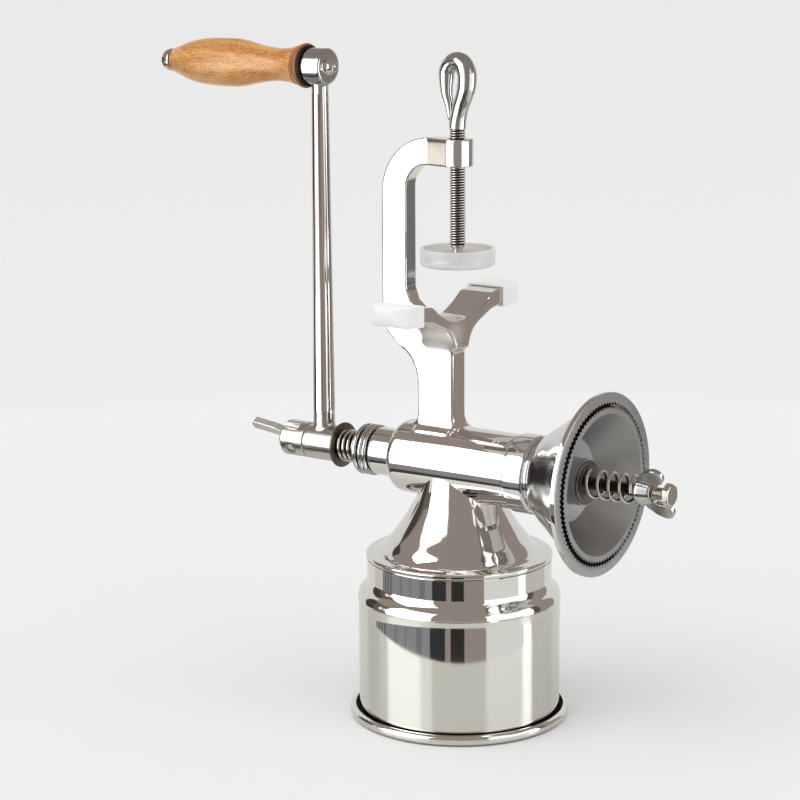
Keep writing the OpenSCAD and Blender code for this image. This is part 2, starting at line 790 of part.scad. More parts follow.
// pin through head and lever
module lever_pin() {
    l = 2 * sqrt(pow(hub_d / 2, 2) - pow(lever_u, 2)) - 0.8;
    gap = lever_t + 0.3;
    color(steel) translate([0, 0, shaft_z]) rotate([lever_lean, 0, 0])
        translate([lever_x, 0, lever_u]) rotate([90, 0, 0]) {
            cylinder(h = l, r = 1.5, center = true, $fn = 32);
            for (s = [-1, 1]) translate([0, 0, s * (l + gap) / 4])
                cylinder(h = (l - gap) / 2, r = 2.3, center = true, $fn = 32);
        }
}

module grip_axle() {
    color(steel) turned_grip([
        [0, grip_cap_x + 3.2], [axle_r, grip_cap_x + 3.2], [axle_r, eye_x1],
        [4.4, eye_x1], [4, eye_x1 + 1.2], [2.9, eye_x1 + 2.4], [2.7, eye_x1 + 3.4],
        [2.2, eye_x1 + 3.9], [1.2, eye_x1 + 3.9], [1, eye_x1 + 3.2], [0, eye_x1 + 3]]);
}

module grip_washer() {
    color(grey) turned_grip([
        [axle_r + run, grip_x1 + 0.1], [10.4, grip_x1 + 0.1], [10.4, eye_x0 - 0.1],
        [axle_r + run, eye_x0 - 0.1]]);
}

// turned wooden grip that spins on the axle
module wood_grip() {
    k = grip_d / 24.8;
    e = grip_x1;
    color(wood) turned_grip([
        [axle_r + run, grip_x0 + 0.4], [5.2 * k, grip_x0 + 0.4], [6.3 * k, grip_x0 + 1.4],
        [8.4 * k, e - 79.7], [9.8 * k, e - 75.7], [10.9 * k, e - 71.2], [11.6 * k, e - 66.7],
        [12.1 * k, e - 60.7], [12.4 * k, e - 53.7], [12.4 * k, e - 47.7], [12.2 * k, e - 43.2],
        [11.5 * k, e - 38.7], [10.6 * k, e - 34.7], [9.8 * k, e - 30.2], [9 * k, e - 25.7],
        [8.5 * k, e - 21.2], [8.3 * k, e - 17.7], [8.5 * k, e - 13.2], [9.2 * k, e - 8.2],
        [10 * k, e - 5], [9.7 * k, e - 4.5], [9.9 * k, e - 4], [10.8 * k, e - 2.4],
        [11.3 * k, e - 1], [11.1 * k, e], [axle_r + run, e]]);
}

// domed cap on the axle's outer end
module grip_cap() {
    x = grip_cap_x;
    color(steel) turned_grip([
        [0, x], [2.2, x + 0.4], [4, x + 1.4], [5.3, x + 3], [5.9, x + 5.2], [5.9, x + 7],
        [5.4, x + 7.6], [axle_r + seat, x + 7.6], [axle_r + seat, x + 3.2], [0, x + 3.2]]);
}

mill_body();
clamp_frame();
foot_fork();
bell_head();
outer_burr();
hopper();
rear_collar();
foot_cap_near();
foot_cap_far();
clamp_screw();
pad_disc();
pad_cup();
shaft();
auger();
inner_burr();
washer_large();
washer_small();
front_spring();
wing_nut();
tension_bolt();
rear_spring();
rear_washer();
crank();
lock_screw();
lock_lever();
lever_pin();
grip_axle();
grip_washer();
wood_grip();
grip_cap();
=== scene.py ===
import json
import logging
import math
from collections.abc import Callable, Iterator
from contextlib import contextmanager
from dataclasses import dataclass, field
from enum import Enum

import bpy
from mathutils import Matrix, Vector

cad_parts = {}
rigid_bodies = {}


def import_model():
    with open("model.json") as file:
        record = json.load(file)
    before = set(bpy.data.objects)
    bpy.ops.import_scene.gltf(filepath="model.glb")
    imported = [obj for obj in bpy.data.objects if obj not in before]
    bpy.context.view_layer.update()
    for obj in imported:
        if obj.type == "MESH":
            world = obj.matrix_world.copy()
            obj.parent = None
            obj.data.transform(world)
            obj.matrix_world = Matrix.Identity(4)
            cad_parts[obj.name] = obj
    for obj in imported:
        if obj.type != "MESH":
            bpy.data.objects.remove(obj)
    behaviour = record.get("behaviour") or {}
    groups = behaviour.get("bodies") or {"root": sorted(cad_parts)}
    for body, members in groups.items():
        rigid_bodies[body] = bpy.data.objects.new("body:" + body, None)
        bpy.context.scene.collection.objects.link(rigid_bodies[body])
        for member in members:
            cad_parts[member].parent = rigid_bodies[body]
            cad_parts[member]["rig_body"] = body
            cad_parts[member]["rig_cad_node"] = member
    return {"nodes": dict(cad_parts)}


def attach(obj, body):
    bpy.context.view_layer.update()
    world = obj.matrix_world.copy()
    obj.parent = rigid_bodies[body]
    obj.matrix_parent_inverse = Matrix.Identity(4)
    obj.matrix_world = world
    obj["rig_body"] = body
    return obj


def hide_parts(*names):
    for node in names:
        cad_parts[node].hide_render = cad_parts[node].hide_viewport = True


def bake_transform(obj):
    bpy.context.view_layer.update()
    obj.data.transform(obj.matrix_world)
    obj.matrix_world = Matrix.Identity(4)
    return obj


LOG = logging.getLogger("grain_mill")
MM = 0.001
SHAFT_Z = 129
GRIP_Z = 321.7
SCREW_X = -0.8
# points nearer than this are one: in a CAD copy, and in a shaped piece
MERGE_MM = 0.002
WELD_MM = 0.004

COLOURS = {"data_type": "RGBA"}

Line = list[tuple[float, float]]
Socket = bpy.types.NodeSocket
Piece = bpy.types.Object


class Axis(Enum):
    """Axis that a piece is turned about: a point in millimetres and a direction."""

    SHAFT = ((0, 0, SHAFT_Z), "X")
    GRIP = ((0, 0, GRIP_Z), "X")
    HOPPER = ((0, 0, 0), "Z")
    SCREW = ((SCREW_X, 0, 0), "Z")

    @property
    def centre(self) -> Vector:
        """A point of the axis."""
        return Vector(self.value[0])

    @property
    def letter(self) -> str:
        """X or Z, the direction's name."""
        return self.value[1]

    @property
    def along(self) -> Vector:
        """The direction."""
        return Vector((1, 0, 0) if self.letter == "X" else (0, 0, 1))


# ---------------------------------------------------------------- lines


def arc(x: float, y: float, r: float, start: float, end: float, n: int) -> Line:
    """Points along a circle's arc.

    Args:
        x, y: the circle's centre.
        r: its radius.
        start, end: angles in degrees.
        n: number of steps.

    Returns:
        n + 1 points.
    """
    turn = [math.radians(start + (end - start) * i / n) for i in range(n + 1)]
    return [(x + r * math.cos(a), y + r * math.sin(a)) for a in turn]


def from_shaft(place: Vector) -> float:
    """Distance of a place from the shaft's axis, in millimetres."""
    return (place.yz - Axis.SHAFT.centre.yz).length


def flowing(points: Line, n: int = 6) -> Line:
    """A smooth line through the points.

    Args:
        points: at least two points.
        n: steps between two of them.

    Returns:
        the denser line, with the first and last point kept.
    """
    ends = [points[0], *points, points[-1]]
    out: Line = []
    for a, b, c, d in zip(ends, ends[1:], ends[2:], ends[3:]):
        for i in range(n):
            t = i / n
            out.append(tuple(
                0.5 * (2 * q + (r - p) * t + (2 * p - 5 * q + 4 * r - s) * t * t
                       + (3 * q - p - 3 * r + s) * t ** 3) for p, q, r, s in zip(a, b, c, d)))
    return [*out, points[-1]]


# ---------------------------------------------------------------- modelling


def clear_selection() -> None:
    """Deselects every object."""
    bpy.ops.object.select_all(action="DESELECT")


def take(piece: Piece) -> Piece:
    """Makes one piece the only selected and the active one.

    Args:
        piece: the piece.

    Returns:
        the piece.
    """
    clear_selection()
    piece.select_set(True)
    bpy.context.view_layer.objects.active = piece
    return piece


def named(name: str) -> Piece:
    """Names the newest primitive.

    Args:
        name: its new name.

    Returns:
        the primitive.
    """
    piece = bpy.context.object
    piece.name = piece.data.name = name
    return piece


@contextmanager
def editing(piece: Piece) -> Iterator[None]:
    """Opens a piece in edit mode with all of it selected.

    Args:
        piece: the piece.

    Returns:
        the context that leaves edit mode again.
    """
    take(piece)
    bpy.ops.object.mode_set(mode="EDIT")
    bpy.ops.mesh.select_mode(type="VERT")
    bpy.ops.mesh.select_all(action="SELECT")
    yield
    bpy.ops.object.mode_set(mode="OBJECT")


def modify(piece: Piece, kind: str, **settings: object) -> None:
    """Adds a modifier with its settings and applies it.

    Args:
        piece: the piece.
        kind: the modifier's type.
        settings: the modifier's attributes.
    """
    take(piece)
    modifier = piece.modifiers.new(kind.lower(), kind)
    for key, value in settings.items():
        setattr(modifier, key, value)
    bpy.ops.object.modifier_apply(modifier=modifier.name)


def finish_shape(piece: Piece, sharp: float = 32) -> Piece:
    """Merges doubles, turns normals outwards and shades smooth up to an angle.

    Args:
        piece: the piece.
        sharp: angle in degrees above which an edge stays sharp.

    Returns:
        the piece.
    """
    with editing(piece):
        bpy.ops.mesh.remove_doubles(threshold=WELD_MM * MM)
        bpy.ops.mesh.normals_make_consistent(inside=False)
    bpy.ops.object.shade_smooth_by_angle(angle=math.radians(sharp))
    return piece


def wire_line(name: str, points: list[Vector]) -> Piece:
    """A chain of edges through the points, extruded vertex by vertex.

    Args:
        name: the piece's name.
        points: places in millimetres.

    Returns:
        the chain as a mesh.
    """
    clear_selection()
    bpy.ops.mesh.primitive_plane_add(size=MM, location=points[0] * MM)
    piece = named(name)
    bpy.ops.object.transform_apply(location=True)
    with editing(piece):
        bpy.ops.mesh.merge(type="CENTER")
        for a, b in zip(points, points[1:]):
            bpy.ops.mesh.extrude_region_move(
                TRANSFORM_OT_translate={"value": (b - a) * MM})
    return piece


def turn(name: str, axis: Axis, line: Line, steps: int = 128, sharp: float = 32,
         closed: bool = True) -> Piece:
    """Turns a profile about an axis, as on a lathe.

    Args:
        name: the piece's name.
        axis: the axis it is turned about.
        line: radius and place along the axis, in millimetres.
        steps: number of segments round.
        sharp: angle in degrees above which an edge stays sharp.
        closed: whether a profile that doesn't start on the axis is closed to a ring.

    Returns:
        the turned piece.
    """
    middle, along = axis.centre, axis.along
    ring = [*line, line[0]] if closed and line[0][0] > 0 else line
    piece = wire_line(name, [middle + along * x + Vector((0, -r, 0)) for r, x in ring])
    with editing(piece):
        bpy.ops.mesh.spin(steps=steps, angle=2 * math.pi, center=middle * MM, axis=along)
    return finish_shape(piece, sharp)


def wind(piece: Piece, axis: str, start: Vector, turns: float, advance: float,
         steps: int) -> Piece:
    """Winds an outline into a screw and sets it in its place.

    Args:
        piece: the outline, drawn about the origin.
        axis: X or Z, the axis that it is wound about.
        start: where the screw starts, in millimetres.
        turns: number of turns.
        advance: length of the whole screw in millimetres.
        steps: number of faces along the whole screw.

    Returns:
        the piece.
    """
    modify(piece, "SCREW", axis=axis, angle=2 * math.pi * turns, screw_offset=advance * MM,
           steps=steps, render_steps=steps, use_merge_vertices=False)
    piece.location = start * MM
    bpy.ops.object.transform_apply(location=True, rotation=True, scale=True)
    return piece


def join(name: str, parts: list[Piece]) -> Piece:
    """Joins several pieces to one and names it.

    Args:
        name: the name.
        parts: the pieces.

    Returns:
        the joined piece.
    """
    clear_selection()
    for part in parts:
        part.select_set(True)
    bpy.context.view_layer.objects.active = parts[0]
    bpy.ops.object.join()
    return named(name)


def solid_copy(node: str, name: str) -> Piece:
    """A merged copy of a CAD node's solid, free of its body.

    Args:
        node: the CAD node.
        name: the new piece's name.

    Returns:
        the copy.
    """
    source = FRAME["nodes"][node]
    piece = source.copy()
    piece.data = source.data.copy()
    piece.name = piece.data.name = name
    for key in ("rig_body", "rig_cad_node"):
        del piece[key]
    piece.parent = None
    bpy.context.scene.collection.objects.link(piece)
    with editing(piece):
        bpy.ops.mesh.remove_doubles(threshold=MERGE_MM * MM)
    bpy.ops.mesh.customdata_custom_splitnormals_clear()
    return piece


def combine(piece: Piece, other: Piece, operation: str) -> Piece:
    """Adds another solid to a piece, or cuts it out.

    Args:
        piece: the piece.
        other: the other solid, which is used up.
        operation: UNION, DIFFERENCE or INTERSECT.

    Returns:
        the piece.
    """
    modify(piece, "BOOLEAN", operation=operation, solver="EXACT", object=other)
    bpy.data.objects.remove(other)
    return piece


def tube(name: str, path: list[tuple[float, ...]], sides: int = 24) -> Piece:
    """Bends a round bar along a path.

    Args:
        name: the piece's name.
        path: three coordinates and a radius for each place, in millimetres.
        sides: number of faces round the bar, a multiple of four.

    Returns:
        the bar with closed ends.
    """
    piece = take(wire_line(name, [Vector(p[:3]) for p in path]))
    bpy.ops.object.convert(target="CURVE")
    bar = piece.data
    bar.bevel_depth = MM
    bar.bevel_resolution = sides // 4 - 1
    bar.use_fill_caps = True
    spots = bar.splines[0].points
    first = (spots[0].co.xyz - Vector(path[0][:3]) * MM).length
    last = (spots[-1].co.xyz - Vector(path[0][:3]) * MM).length
    for spot, place in zip(spots, path if first < last else path[::-1]):
        spot.radius = place[3]
    bpy.ops.object.convert(target="MESH")
    return finish_shape(named(name), 40)


def thread(name: str, axis: Axis, start: float, end: float, root: float, crest: float,
           pitch: float, steps: int = 28) -> Piece:
    """Winds a right-handed V thread about an axis.

    Args:
        name: the piece's name.
        axis: the screw's axis.
        start, end: the thread's ends along the axis.
        root, crest: radii of the thread's valley and edge.
        pitch: advance of one turn.
        steps: number of faces round one turn.

    Returns:
        the thread's skin, open at both ends.
    """
    out = Vector((0, 0, 1) if axis.letter == "X" else (1, 0, 0))
    tooth = [(root, 0.0), (root + 0.05, 0.2), (crest, 0.46), (crest, 0.62),
             (root + 0.05, 0.86), (root, 1.0)]
    piece = wire_line(name, [out * r + axis.along * (x * pitch) for r, x in tooth])
    turns = round((end - start) / pitch)
    wind(piece, axis.letter, axis.centre + axis.along * start, turns, turns * pitch, steps * turns)
    return finish_shape(piece, 25)


def soften(piece: Piece, voxel: float, rounds: int,
           keep: Callable[[Vector], float] = lambda place: 1.0) -> Piece:
    """Melts the parts of a piece into one skin and rounds its edges and corners.

    Args:
        piece: a closed piece, or several closed shells that overlap.
        voxel: size of the skin's faces in millimetres.
        rounds: rounds of smoothing.
        keep: gives the share of smoothing, 0 to 1, at a place in millimetres.

    Returns:
        the piece.
    """
    modify(piece, "REMESH", mode="VOXEL", voxel_size=voxel * MM)
    group = piece.vertex_groups.new(name="rounding")
    for vertex in piece.data.vertices:
        group.add([vertex.index], keep(vertex.co / MM), "REPLACE")
    modify(piece, "SMOOTH", factor=0.5, iterations=rounds, vertex_group=group.name)
    piece.vertex_groups.clear()
    bpy.ops.object.shade_smooth()
    return piece


# ---------------------------------------------------------------- finishes


def linear(code: str) -> tuple[float, float, float, float]:
    """Turns an sRGB hex colour to linear RGBA.

    Args:
        code: the colour, such as #e3e1dd.

    Returns:
        red, green, blue and 1.
    """
    parts = [int(code[i:i + 2], 16) / 255 for i in (1, 3, 5)]
    low = [c / 12.92 if c <= 0.04045 else ((c + 0.055) / 1.055) ** 2.4 for c in parts]
    return (*low, 1.0)


def add(tree: bpy.types.NodeTree, kind: str, settings: dict | None = None,
        out: int | str = 0, **values: object) -> Socket | None:
    """Adds a node with its settings, values and links.

    Args:
        tree: the node tree.
        kind: the node's type, without the word ShaderNode.
        settings: attributes of the node.
        out: number or name of the output that is wanted.
        values: an input's name, or in_ and its number, and a value or a socket to link.

    Returns:
        that output, if the node has any.
    """
    node = tree.nodes.new("ShaderNode" + kind)
    for key, value in (settings or {}).items():
        setattr(node, key, value)
    for key, value in values.items():
        slot = node.inputs[int(key[3:]) if key[:3] == "in_" else key.replace("_", " ")]
        if isinstance(value, Socket):
            tree.links.new(value, slot)
        else:
            slot.default_value = value
    return node.outputs[out] if node.outputs else None


def blank(name: str) -> bpy.types.Material:
    """Makes a material with an empty node tree.

    Args:
        name: its name.

    Returns:
        the material.
    """
    material = bpy.data.materials.new(name)
    material.use_nodes = True
    material.node_tree.nodes.clear()
    return material


@dataclass(frozen=True)
class Steel:
    """Bare steel, stainless in most pieces, polished, turned or blasted.

    Mirror-polished it shows the studio almost sharply. The polish keeps a faint wave from the
    casting under it, and thin smears change the gloss over some 15 mm. A patch is rougher round a
    point, and where it has a colour of its own, that colour is painted shade. Lines are bumps
    along the length from polishing, and their colour is painted reflection.
    """

    name: str
    colour: str = "#e3e1dd"
    roughness: float = 0.06
    gloss_spread: float = 0.05
    smear_mm: float = 16
    wave_mm: float = 9
    wave_depth_mm: float = 0.012
    grain_mm: float = 0.0
    grain_depth_mm: float = 0.0
    patch_at: tuple[float, float, float] = (0.0, 0.0, 0.0)
    patch_mm: float = 0.0
    patch_rough: float = 0.0
    painted_shade_colour: str = "#e3e1dd"
    line_mm: float = 0.0
    line_squeeze: float = 0.012
    line_depth_mm: float = 0.15
    painted_reflection_colour: str = "#8f8783"

    def material(self) -> bpy.types.Material:
        """Builds the material.

        Returns:
            the material.
        """
        made = blank(self.name)
        tree = made.node_tree
        place = add(tree, "TexCoord", out="Object")
        smear = add(tree, "TexNoise", Vector=place, Scale=1 / (self.smear_mm * MM), Detail=3.0)
        gloss = add(tree, "MapRange", Value=smear, From_Min=0.3, From_Max=0.7,
                    To_Min=max(0.02, self.roughness - self.gloss_spread / 2),
                    To_Max=self.roughness + self.gloss_spread / 2)
        wave = add(tree, "TexNoise", Vector=place, Scale=1 / (self.wave_mm * MM), Detail=1.0)
        normal = add(tree, "Bump", Strength=1.0, Distance=self.wave_depth_mm * MM, Height=wave)
        if self.grain_mm:
            grain = add(tree, "TexNoise", Vector=place, Scale=1 / (self.grain_mm * MM), Detail=4.0)
            normal = add(tree, "Bump", Strength=1.0, Height=grain, Normal=normal,
                         Distance=self.grain_depth_mm * MM)
        tone = linear(self.colour)
        # lengthwise lines: polishing bumps, and their colour mixed into the tone is painted
        # reflection
        if self.line_mm:
            along = add(tree, "Mapping", Vector=place, Scale=(1, 1, self.line_squeeze))
            line = add(tree, "TexNoise", Vector=along, Scale=1 / (self.line_mm * MM), Detail=2.0)
            normal = add(tree, "Bump", Strength=1.0, Height=line, Normal=normal,
                         Distance=self.line_depth_mm * MM)
            share = add(tree, "MapRange", Value=line, From_Min=0.4, From_Max=0.62)
            tone = add(tree, "Mix", COLOURS, 2, in_0=share, in_6=tone,
                       in_7=linear(self.painted_reflection_colour))
        # patch round a point: rougher there, and its own colour there is painted shade
        if self.patch_mm:
            away = add(tree, "VectorMath", {"operation": "DISTANCE"}, "Value", in_0=place,
                       in_1=Vector(self.patch_at) * MM)
            near = add(tree, "MapRange", {"interpolation_type": "SMOOTHSTEP"}, Value=away,
                       From_Min=0.3 * self.patch_mm * MM, From_Max=self.patch_mm * MM,
                       To_Min=1.0, To_Max=0.0)
            gloss = add(tree, "Math", {"operation": "MULTIPLY_ADD"}, in_0=near,
                        in_1=self.patch_rough, in_2=gloss)
            tone = add(tree, "Mix", COLOURS, 2, in_0=near, in_6=tone,
                       in_7=linear(self.painted_shade_colour))
        skin = add(tree, "BsdfPrincipled", Metallic=1.0, Roughness=gloss, Normal=normal,
                   Base_Color=tone)
        add(tree, "OutputMaterial", Surface=skin)
        return made


@dataclass(frozen=True)
class Plain:
    """A surface of one tone with a fine grain, such as silicone rubber, or near black as painted
    shade in slits and grooves.
    """

    name: str
    colour: str
    roughness: float
    veil: float = 1.0
    under_skin: float = 0.0
    ior: float = 1.45
    mottle_mm: float = 6
    grain_mm: float = 0.4
    grain_depth_mm: float = 0.01

    def material(self) -> bpy.types.Material:
        """Builds the material.

        Returns:
            the material.
        """
        made = blank(self.name)
        tree = made.node_tree
        place = add(tree, "TexCoord", out="Object")
        cloud = add(tree, "TexNoise", Vector=place, Scale=1 / (self.mottle_mm * MM), Detail=5.0)
        rough = add(tree, "MapRange", Value=cloud, From_Min=0.3, From_Max=0.7,
                    To_Min=self.roughness * 0.85, To_Max=min(1, self.roughness * 1.15))
        tint = add(tree, "MapRange", Value=cloud, From_Min=0.3, From_Max=0.7,
                   To_Min=0.94, To_Max=1.0)
        tone = add(tree, "Mix", COLOURS | {"blend_type": "MULTIPLY"}, 2,
                   in_0=1.0, in_6=linear(self.colour), in_7=tint)
        grain = add(tree, "TexNoise", Vector=place, Scale=1 / (self.grain_mm * MM), Detail=2.0)
        normal = add(tree, "Bump", Strength=1.0, Height=grain, Distance=self.grain_depth_mm * MM)
        skin = add(tree, "BsdfPrincipled", Base_Color=tone, Roughness=rough,
                   Normal=normal, IOR=self.ior, Alpha=self.veil, Subsurface_Weight=self.under_skin,
                   Subsurface_Scale=2 * MM)
        add(tree, "OutputMaterial", Surface=skin)
        return made


@dataclass(frozen=True)
class Varnished:
    """Turned hardwood such as beech under clear varnish.

    The grain runs along the grip in streaks about 0.8 mm wide, with short dark pores and broad
    clouds. The varnish lays a soft sheen over it, and the end by the crank is scorched darker.
    Real pores are finer: they are drawn as coarse as they need to show.
    """

    name: str
    light: str = "#eeb468"
    deep: str = "#c67e34"
    pore: str = "#84501f"
    scorched: str = "#8e4d20"
    streak_mm: float = 0.8
    streak_squeeze: float = 0.07
    broad_mm: float = 5
    pore_mm: float = 0.42
    pore_squeeze: float = 0.22
    pore_depth_mm: float = 0.03
    burnt_from_mm: float = -96.5
    burnt_to_mm: float = -94.5

    def material(self) -> bpy.types.Material:
        """Builds the material.

        Returns:
            the material.
        """
        made = blank(self.name)
        tree = made.node_tree
        place = add(tree, "TexCoord", out="Object")
        along = add(tree, "Mapping", Vector=place, Scale=(self.streak_squeeze, 1, 1))
        dash = add(tree, "Mapping", Vector=place, Scale=(self.pore_squeeze, 1, 1))
        streak = add(tree, "TexNoise", Vector=along, Scale=1 / (self.streak_mm * MM),
                     Detail=3.0, Distortion=0.4)
        broad = add(tree, "TexNoise", Vector=along, Scale=1 / (self.broad_mm * MM), Detail=2.0)
        mixed = add(tree, "Mix", in_0=0.5, in_2=streak, in_3=broad)
        share = add(tree, "MapRange", Value=mixed, From_Min=0.36, From_Max=0.62)
        wood = add(tree, "Mix", COLOURS, 2, in_0=share,
                   in_6=linear(self.light), in_7=linear(self.deep))
        speck = add(tree, "TexNoise", Vector=dash, Scale=1 / (self.pore_mm * MM), Detail=1.0)
        pore = add(tree, "MapRange", Value=speck, From_Min=0.57, From_Max=0.68)
        dark = add(tree, "Mix", COLOURS, 2, in_0=pore, in_6=wood, in_7=linear(self.pore))
        x = add(tree, "SeparateXYZ", Vector=place)
        burnt = add(tree, "MapRange", Value=x, From_Min=self.burnt_from_mm * MM,
                    From_Max=self.burnt_to_mm * MM, To_Max=0.85)
        tone = add(tree, "Mix", COLOURS, 2, in_0=burnt, in_6=dark, in_7=linear(self.scorched))
        normal = add(tree, "Bump", Strength=0.6, Height=speck, Distance=self.pore_depth_mm * MM)
        skin = add(tree, "BsdfPrincipled", Base_Color=tone, Normal=normal,
                   Roughness=0.42, Coat_Weight=0.9, Coat_Roughness=0.26)
        add(tree, "OutputMaterial", Surface=skin)
        return made


class Finishes:
    """Every finish of the mill, each made once and found by a short name."""

    def __init__(self) -> None:
        """Makes the materials."""
        make = {
            # cast, ground and buffed: a mirror with a faint wave, duller in the saddle's valley
            "cast": Steel("polished_cast_stainless", patch_at=(-8, -6.5, 195), patch_mm=18,
                          patch_rough=0.4),
            # ground face of the post: a rougher mirror, whose greyer tone is painted reflection
            "ground": Steel("ground_stainless_painted_grey", colour="#b2bcc0", roughness=0.11),
            # turned and buffed on the lathe: an even mirror, rougher where the bell meets its
            # neck, with painted shade darkening it there
            "bell": Steel("polished_turned_stainless", colour="#dbdcdc", wave_depth_mm=0.004,
                          wave_mm=16, patch_at=(64, -28, 137), patch_mm=19,
                          patch_rough=0.12, painted_shade_colour="#5d5d5e"),
            # spun sheet: the sharpest mirror of all
            "sheet": Steel("polished_spun_stainless", colour="#e4e3de", roughness=0.05,
                           gloss_spread=0.03, wave_depth_mm=0.004, wave_mm=14),
            # forged and barrel-polished: soft highlights
            "forged": Steel("polished_forged_steel", colour="#c6c7c6", roughness=0.12, wave_mm=6),
            # bright turned rod, with a silky gloss
            "turned": Steel("turned_bright_steel", colour="#d9d7d2", roughness=0.12,
                            wave_depth_mm=0.0),
            # drawn wire: sharp lines of light along its turns
            "wire": Steel("spring_steel_wire", colour="#cfcbc4", roughness=0.09,
                          gloss_spread=0.02, wave_depth_mm=0.0),
            # finely faced on the lathe: a pale sheen without images
            "lip": Steel("fine_turned_stainless", colour="#bdbebf", roughness=0.3,
                         wave_depth_mm=0.0),
            # bead-blasted: flat grey with a fine grain
            "matte": Steel("bead_blasted_burr_steel", colour="#a3a4a4", roughness=0.42,
                           gloss_spread=0.06, wave_depth_mm=0.0, grain_mm=0.5,
                           grain_depth_mm=0.012),
            # stamped and oiled: dark brown-grey
            "washer": Steel("oiled_washer_steel", colour="#6d675f", roughness=0.32,
                            grain_mm=0.6, grain_depth_mm=0.01),
            # tumbled: small uneven highlights
            "hub": Steel("tumbled_forged_steel", colour="#c9c6c0", roughness=0.2,
                         gloss_spread=0.12, smear_mm=6, wave_depth_mm=0.02, wave_mm=3),
            # polished along its length: bumps from end to end, with light and brown streaks of
            # painted reflection
            "drawn": Steel("lengthwise_polished_steel", colour="#e6e3e0", roughness=0.09,
                           wave_depth_mm=0.0, line_mm=2.4, line_depth_mm=0.2),
            # satin: pale, without images; on the burrs' far flanks it stands as painted light
            "satin": Steel("satin_forged_steel", colour="#e8ecee", roughness=0.4,
                           gloss_spread=0.1, smear_mm=5, wave_depth_mm=0.03, wave_mm=4),
            # zinc-plated: pale and soft
            "disc": Steel("plain_zinc_plated_disc", colour="#dedddb", roughness=0.38),
            # painted shade: almost black-brown steel inside the springs' turns, on the rod within
            # them and on the shaft
            "dull": Steel("painted_shade_dark_steel", colour="#4d4339", roughness=0.3),
            # passivated thread: a faint yellow tone
            "brass": Steel("yellow_passivated_thread", colour="#b6b0a0", roughness=0.24,
                           wave_depth_mm=0.0),
            # painted shade: near black in deep slits, grooves and thread valleys, where no light
            # comes back, and on the washer behind the grip
            "gap": Plain("painted_shade_black", "#16130f", 0.7),
            # moulded silicone: white with soft edges of light
            "soft": Plain("white_silicone_rubber", "#fdfcfa", 0.5, under_skin=0.3),
            # thin moulded silicone: the disc shows through it
            "cup": Plain("milky_silicone_rubber", "#f1f0ef", 0.38, veil=0.62, under_skin=0.1),
            "wood": Varnished("varnished_beech"),
        }
        self.by_name = {key: finish.material() for key, finish in make.items()}

    def __getitem__(self, key: str) -> bpy.types.Material:
        """The material of that short name."""
        return self.by_name[key]


@dataclass
class Part:
    """A sub-assembly of the mill, which builds its pieces and dresses them."""

    finishes: Finishes

    def dress(self, piece: Piece, finish: str, body: str, slot: str, *stands_for: str) -> Piece:
        """Gives a finished piece its finish, its body and the nodes it stands for.

        Args:
            piece: the piece, with its place in its mesh.
            finish: the finish's short name.
            body: the CAD body it rides on.
            slot: the record's material slot; not used.
            stands_for: CAD nodes that it replaces.

        Returns:
            the piece.
        """
        piece.data.materials.clear()
        piece.data.materials.append(self.finishes[finish])
        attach(piece, body)
        if stands_for:
            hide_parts(*stands_for)
        LOG.info("%s: %d faces on %s", piece.name, len(piece.data.polygons), body)
        return piece

    def paint(self, piece: Piece, finish: str, where: Callable[[Vector], bool]) -> None:
        """Gives some faces of a piece a second finish.

        Args:
            piece: the piece.
            finish: the second finish's short name.
            where: says of a place in millimetres whether it gets it.
        """
        piece.data.materials.append(self.finishes[finish])
        index = len(piece.data.materials) - 1
        for face in piece.data.polygons:
            if where(face.center / MM):
                face.material_index = index


# ---------------------------------------------------------------- the mill's parts


@dataclass
class Hopper(Part):
    """Spun can with a rolled bead at its mouth, a shoulder and a neck."""

    wall_r: float = 50.9
    sheet: float = 0.8
    bead_r: float = 55.0
    wall_top: float = 61.6
    neck_z: float = 71.2
    neck_r: float = 46.3
    top: float = 80.9
    taper: float = 0.36
    flare_h: float = 6.0
    groove: float = 0.3

    def side(self, inset: float) -> Line:
        """Profile of wall, shoulder and neck.

        Args:
            inset: how far it is moved inwards.

        Returns:
            the profile, from the wall's top to the neck's end.
        """
        rise = self.neck_z - self.wall_top
        bend = 2 * math.atan((self.wall_r - self.neck_r) / rise)
        r = rise / (2 * math.sin(bend))
        angle = math.degrees(bend)
        return [
            *arc(self.wall_r - r, self.wall_top, r - inset, 0, angle, 14),
            *arc(self.neck_r + r, self.neck_z, r + inset, 180 + angle, 180, 14)[1:],
            (self.neck_r - inset, self.top)]

    def build(self) -> None:
        """Builds the can with its bead, and paints shade into the slit behind the bead."""
        w, b, bend = self.wall_r, self.bead_r, self.wall_top
        flare = [(w - self.taper * (1 - i * i / 100), bend - 0.4 - self.flare_h * (1 - i / 10))
                 for i in range(11)]
        outer = [(w - self.taper, 2.0), *flare, (w - self.groove, bend - 0.12),
                 *self.side(0)[1:]]
        inner = self.side(self.sheet)[::-1]
        bead = [(w - self.sheet, 0.6), (w - self.sheet + 0.5, 0.05), (b - 2.2, 0),
                *arc(b - 2.1, 2.1, 2.1, -80, 0, 8), *arc(b - 2.1, 3.0, 2.1, 0, 90, 10),
                *arc(b - 2.15, 4.6, 0.5, 90, 200, 6), (b - 2.6, 2.0), (w, 2.0)]
        # At the wall's foot, behind the bead, the profile stays open by the wall's taper.
        can = turn("hopper_can", Axis.HOPPER, [*outer, *inner, *bead], 192, closed=False)
        self.dress(can, "sheet", "hopper", "spun_sheet", "hopper")
        # painted shade: the slit behind the bead is near black
        self.paint(can, "gap", lambda p: 1.5 < p.z < 4.4 and w - 0.05 < p.xy.length < b - 2.4)


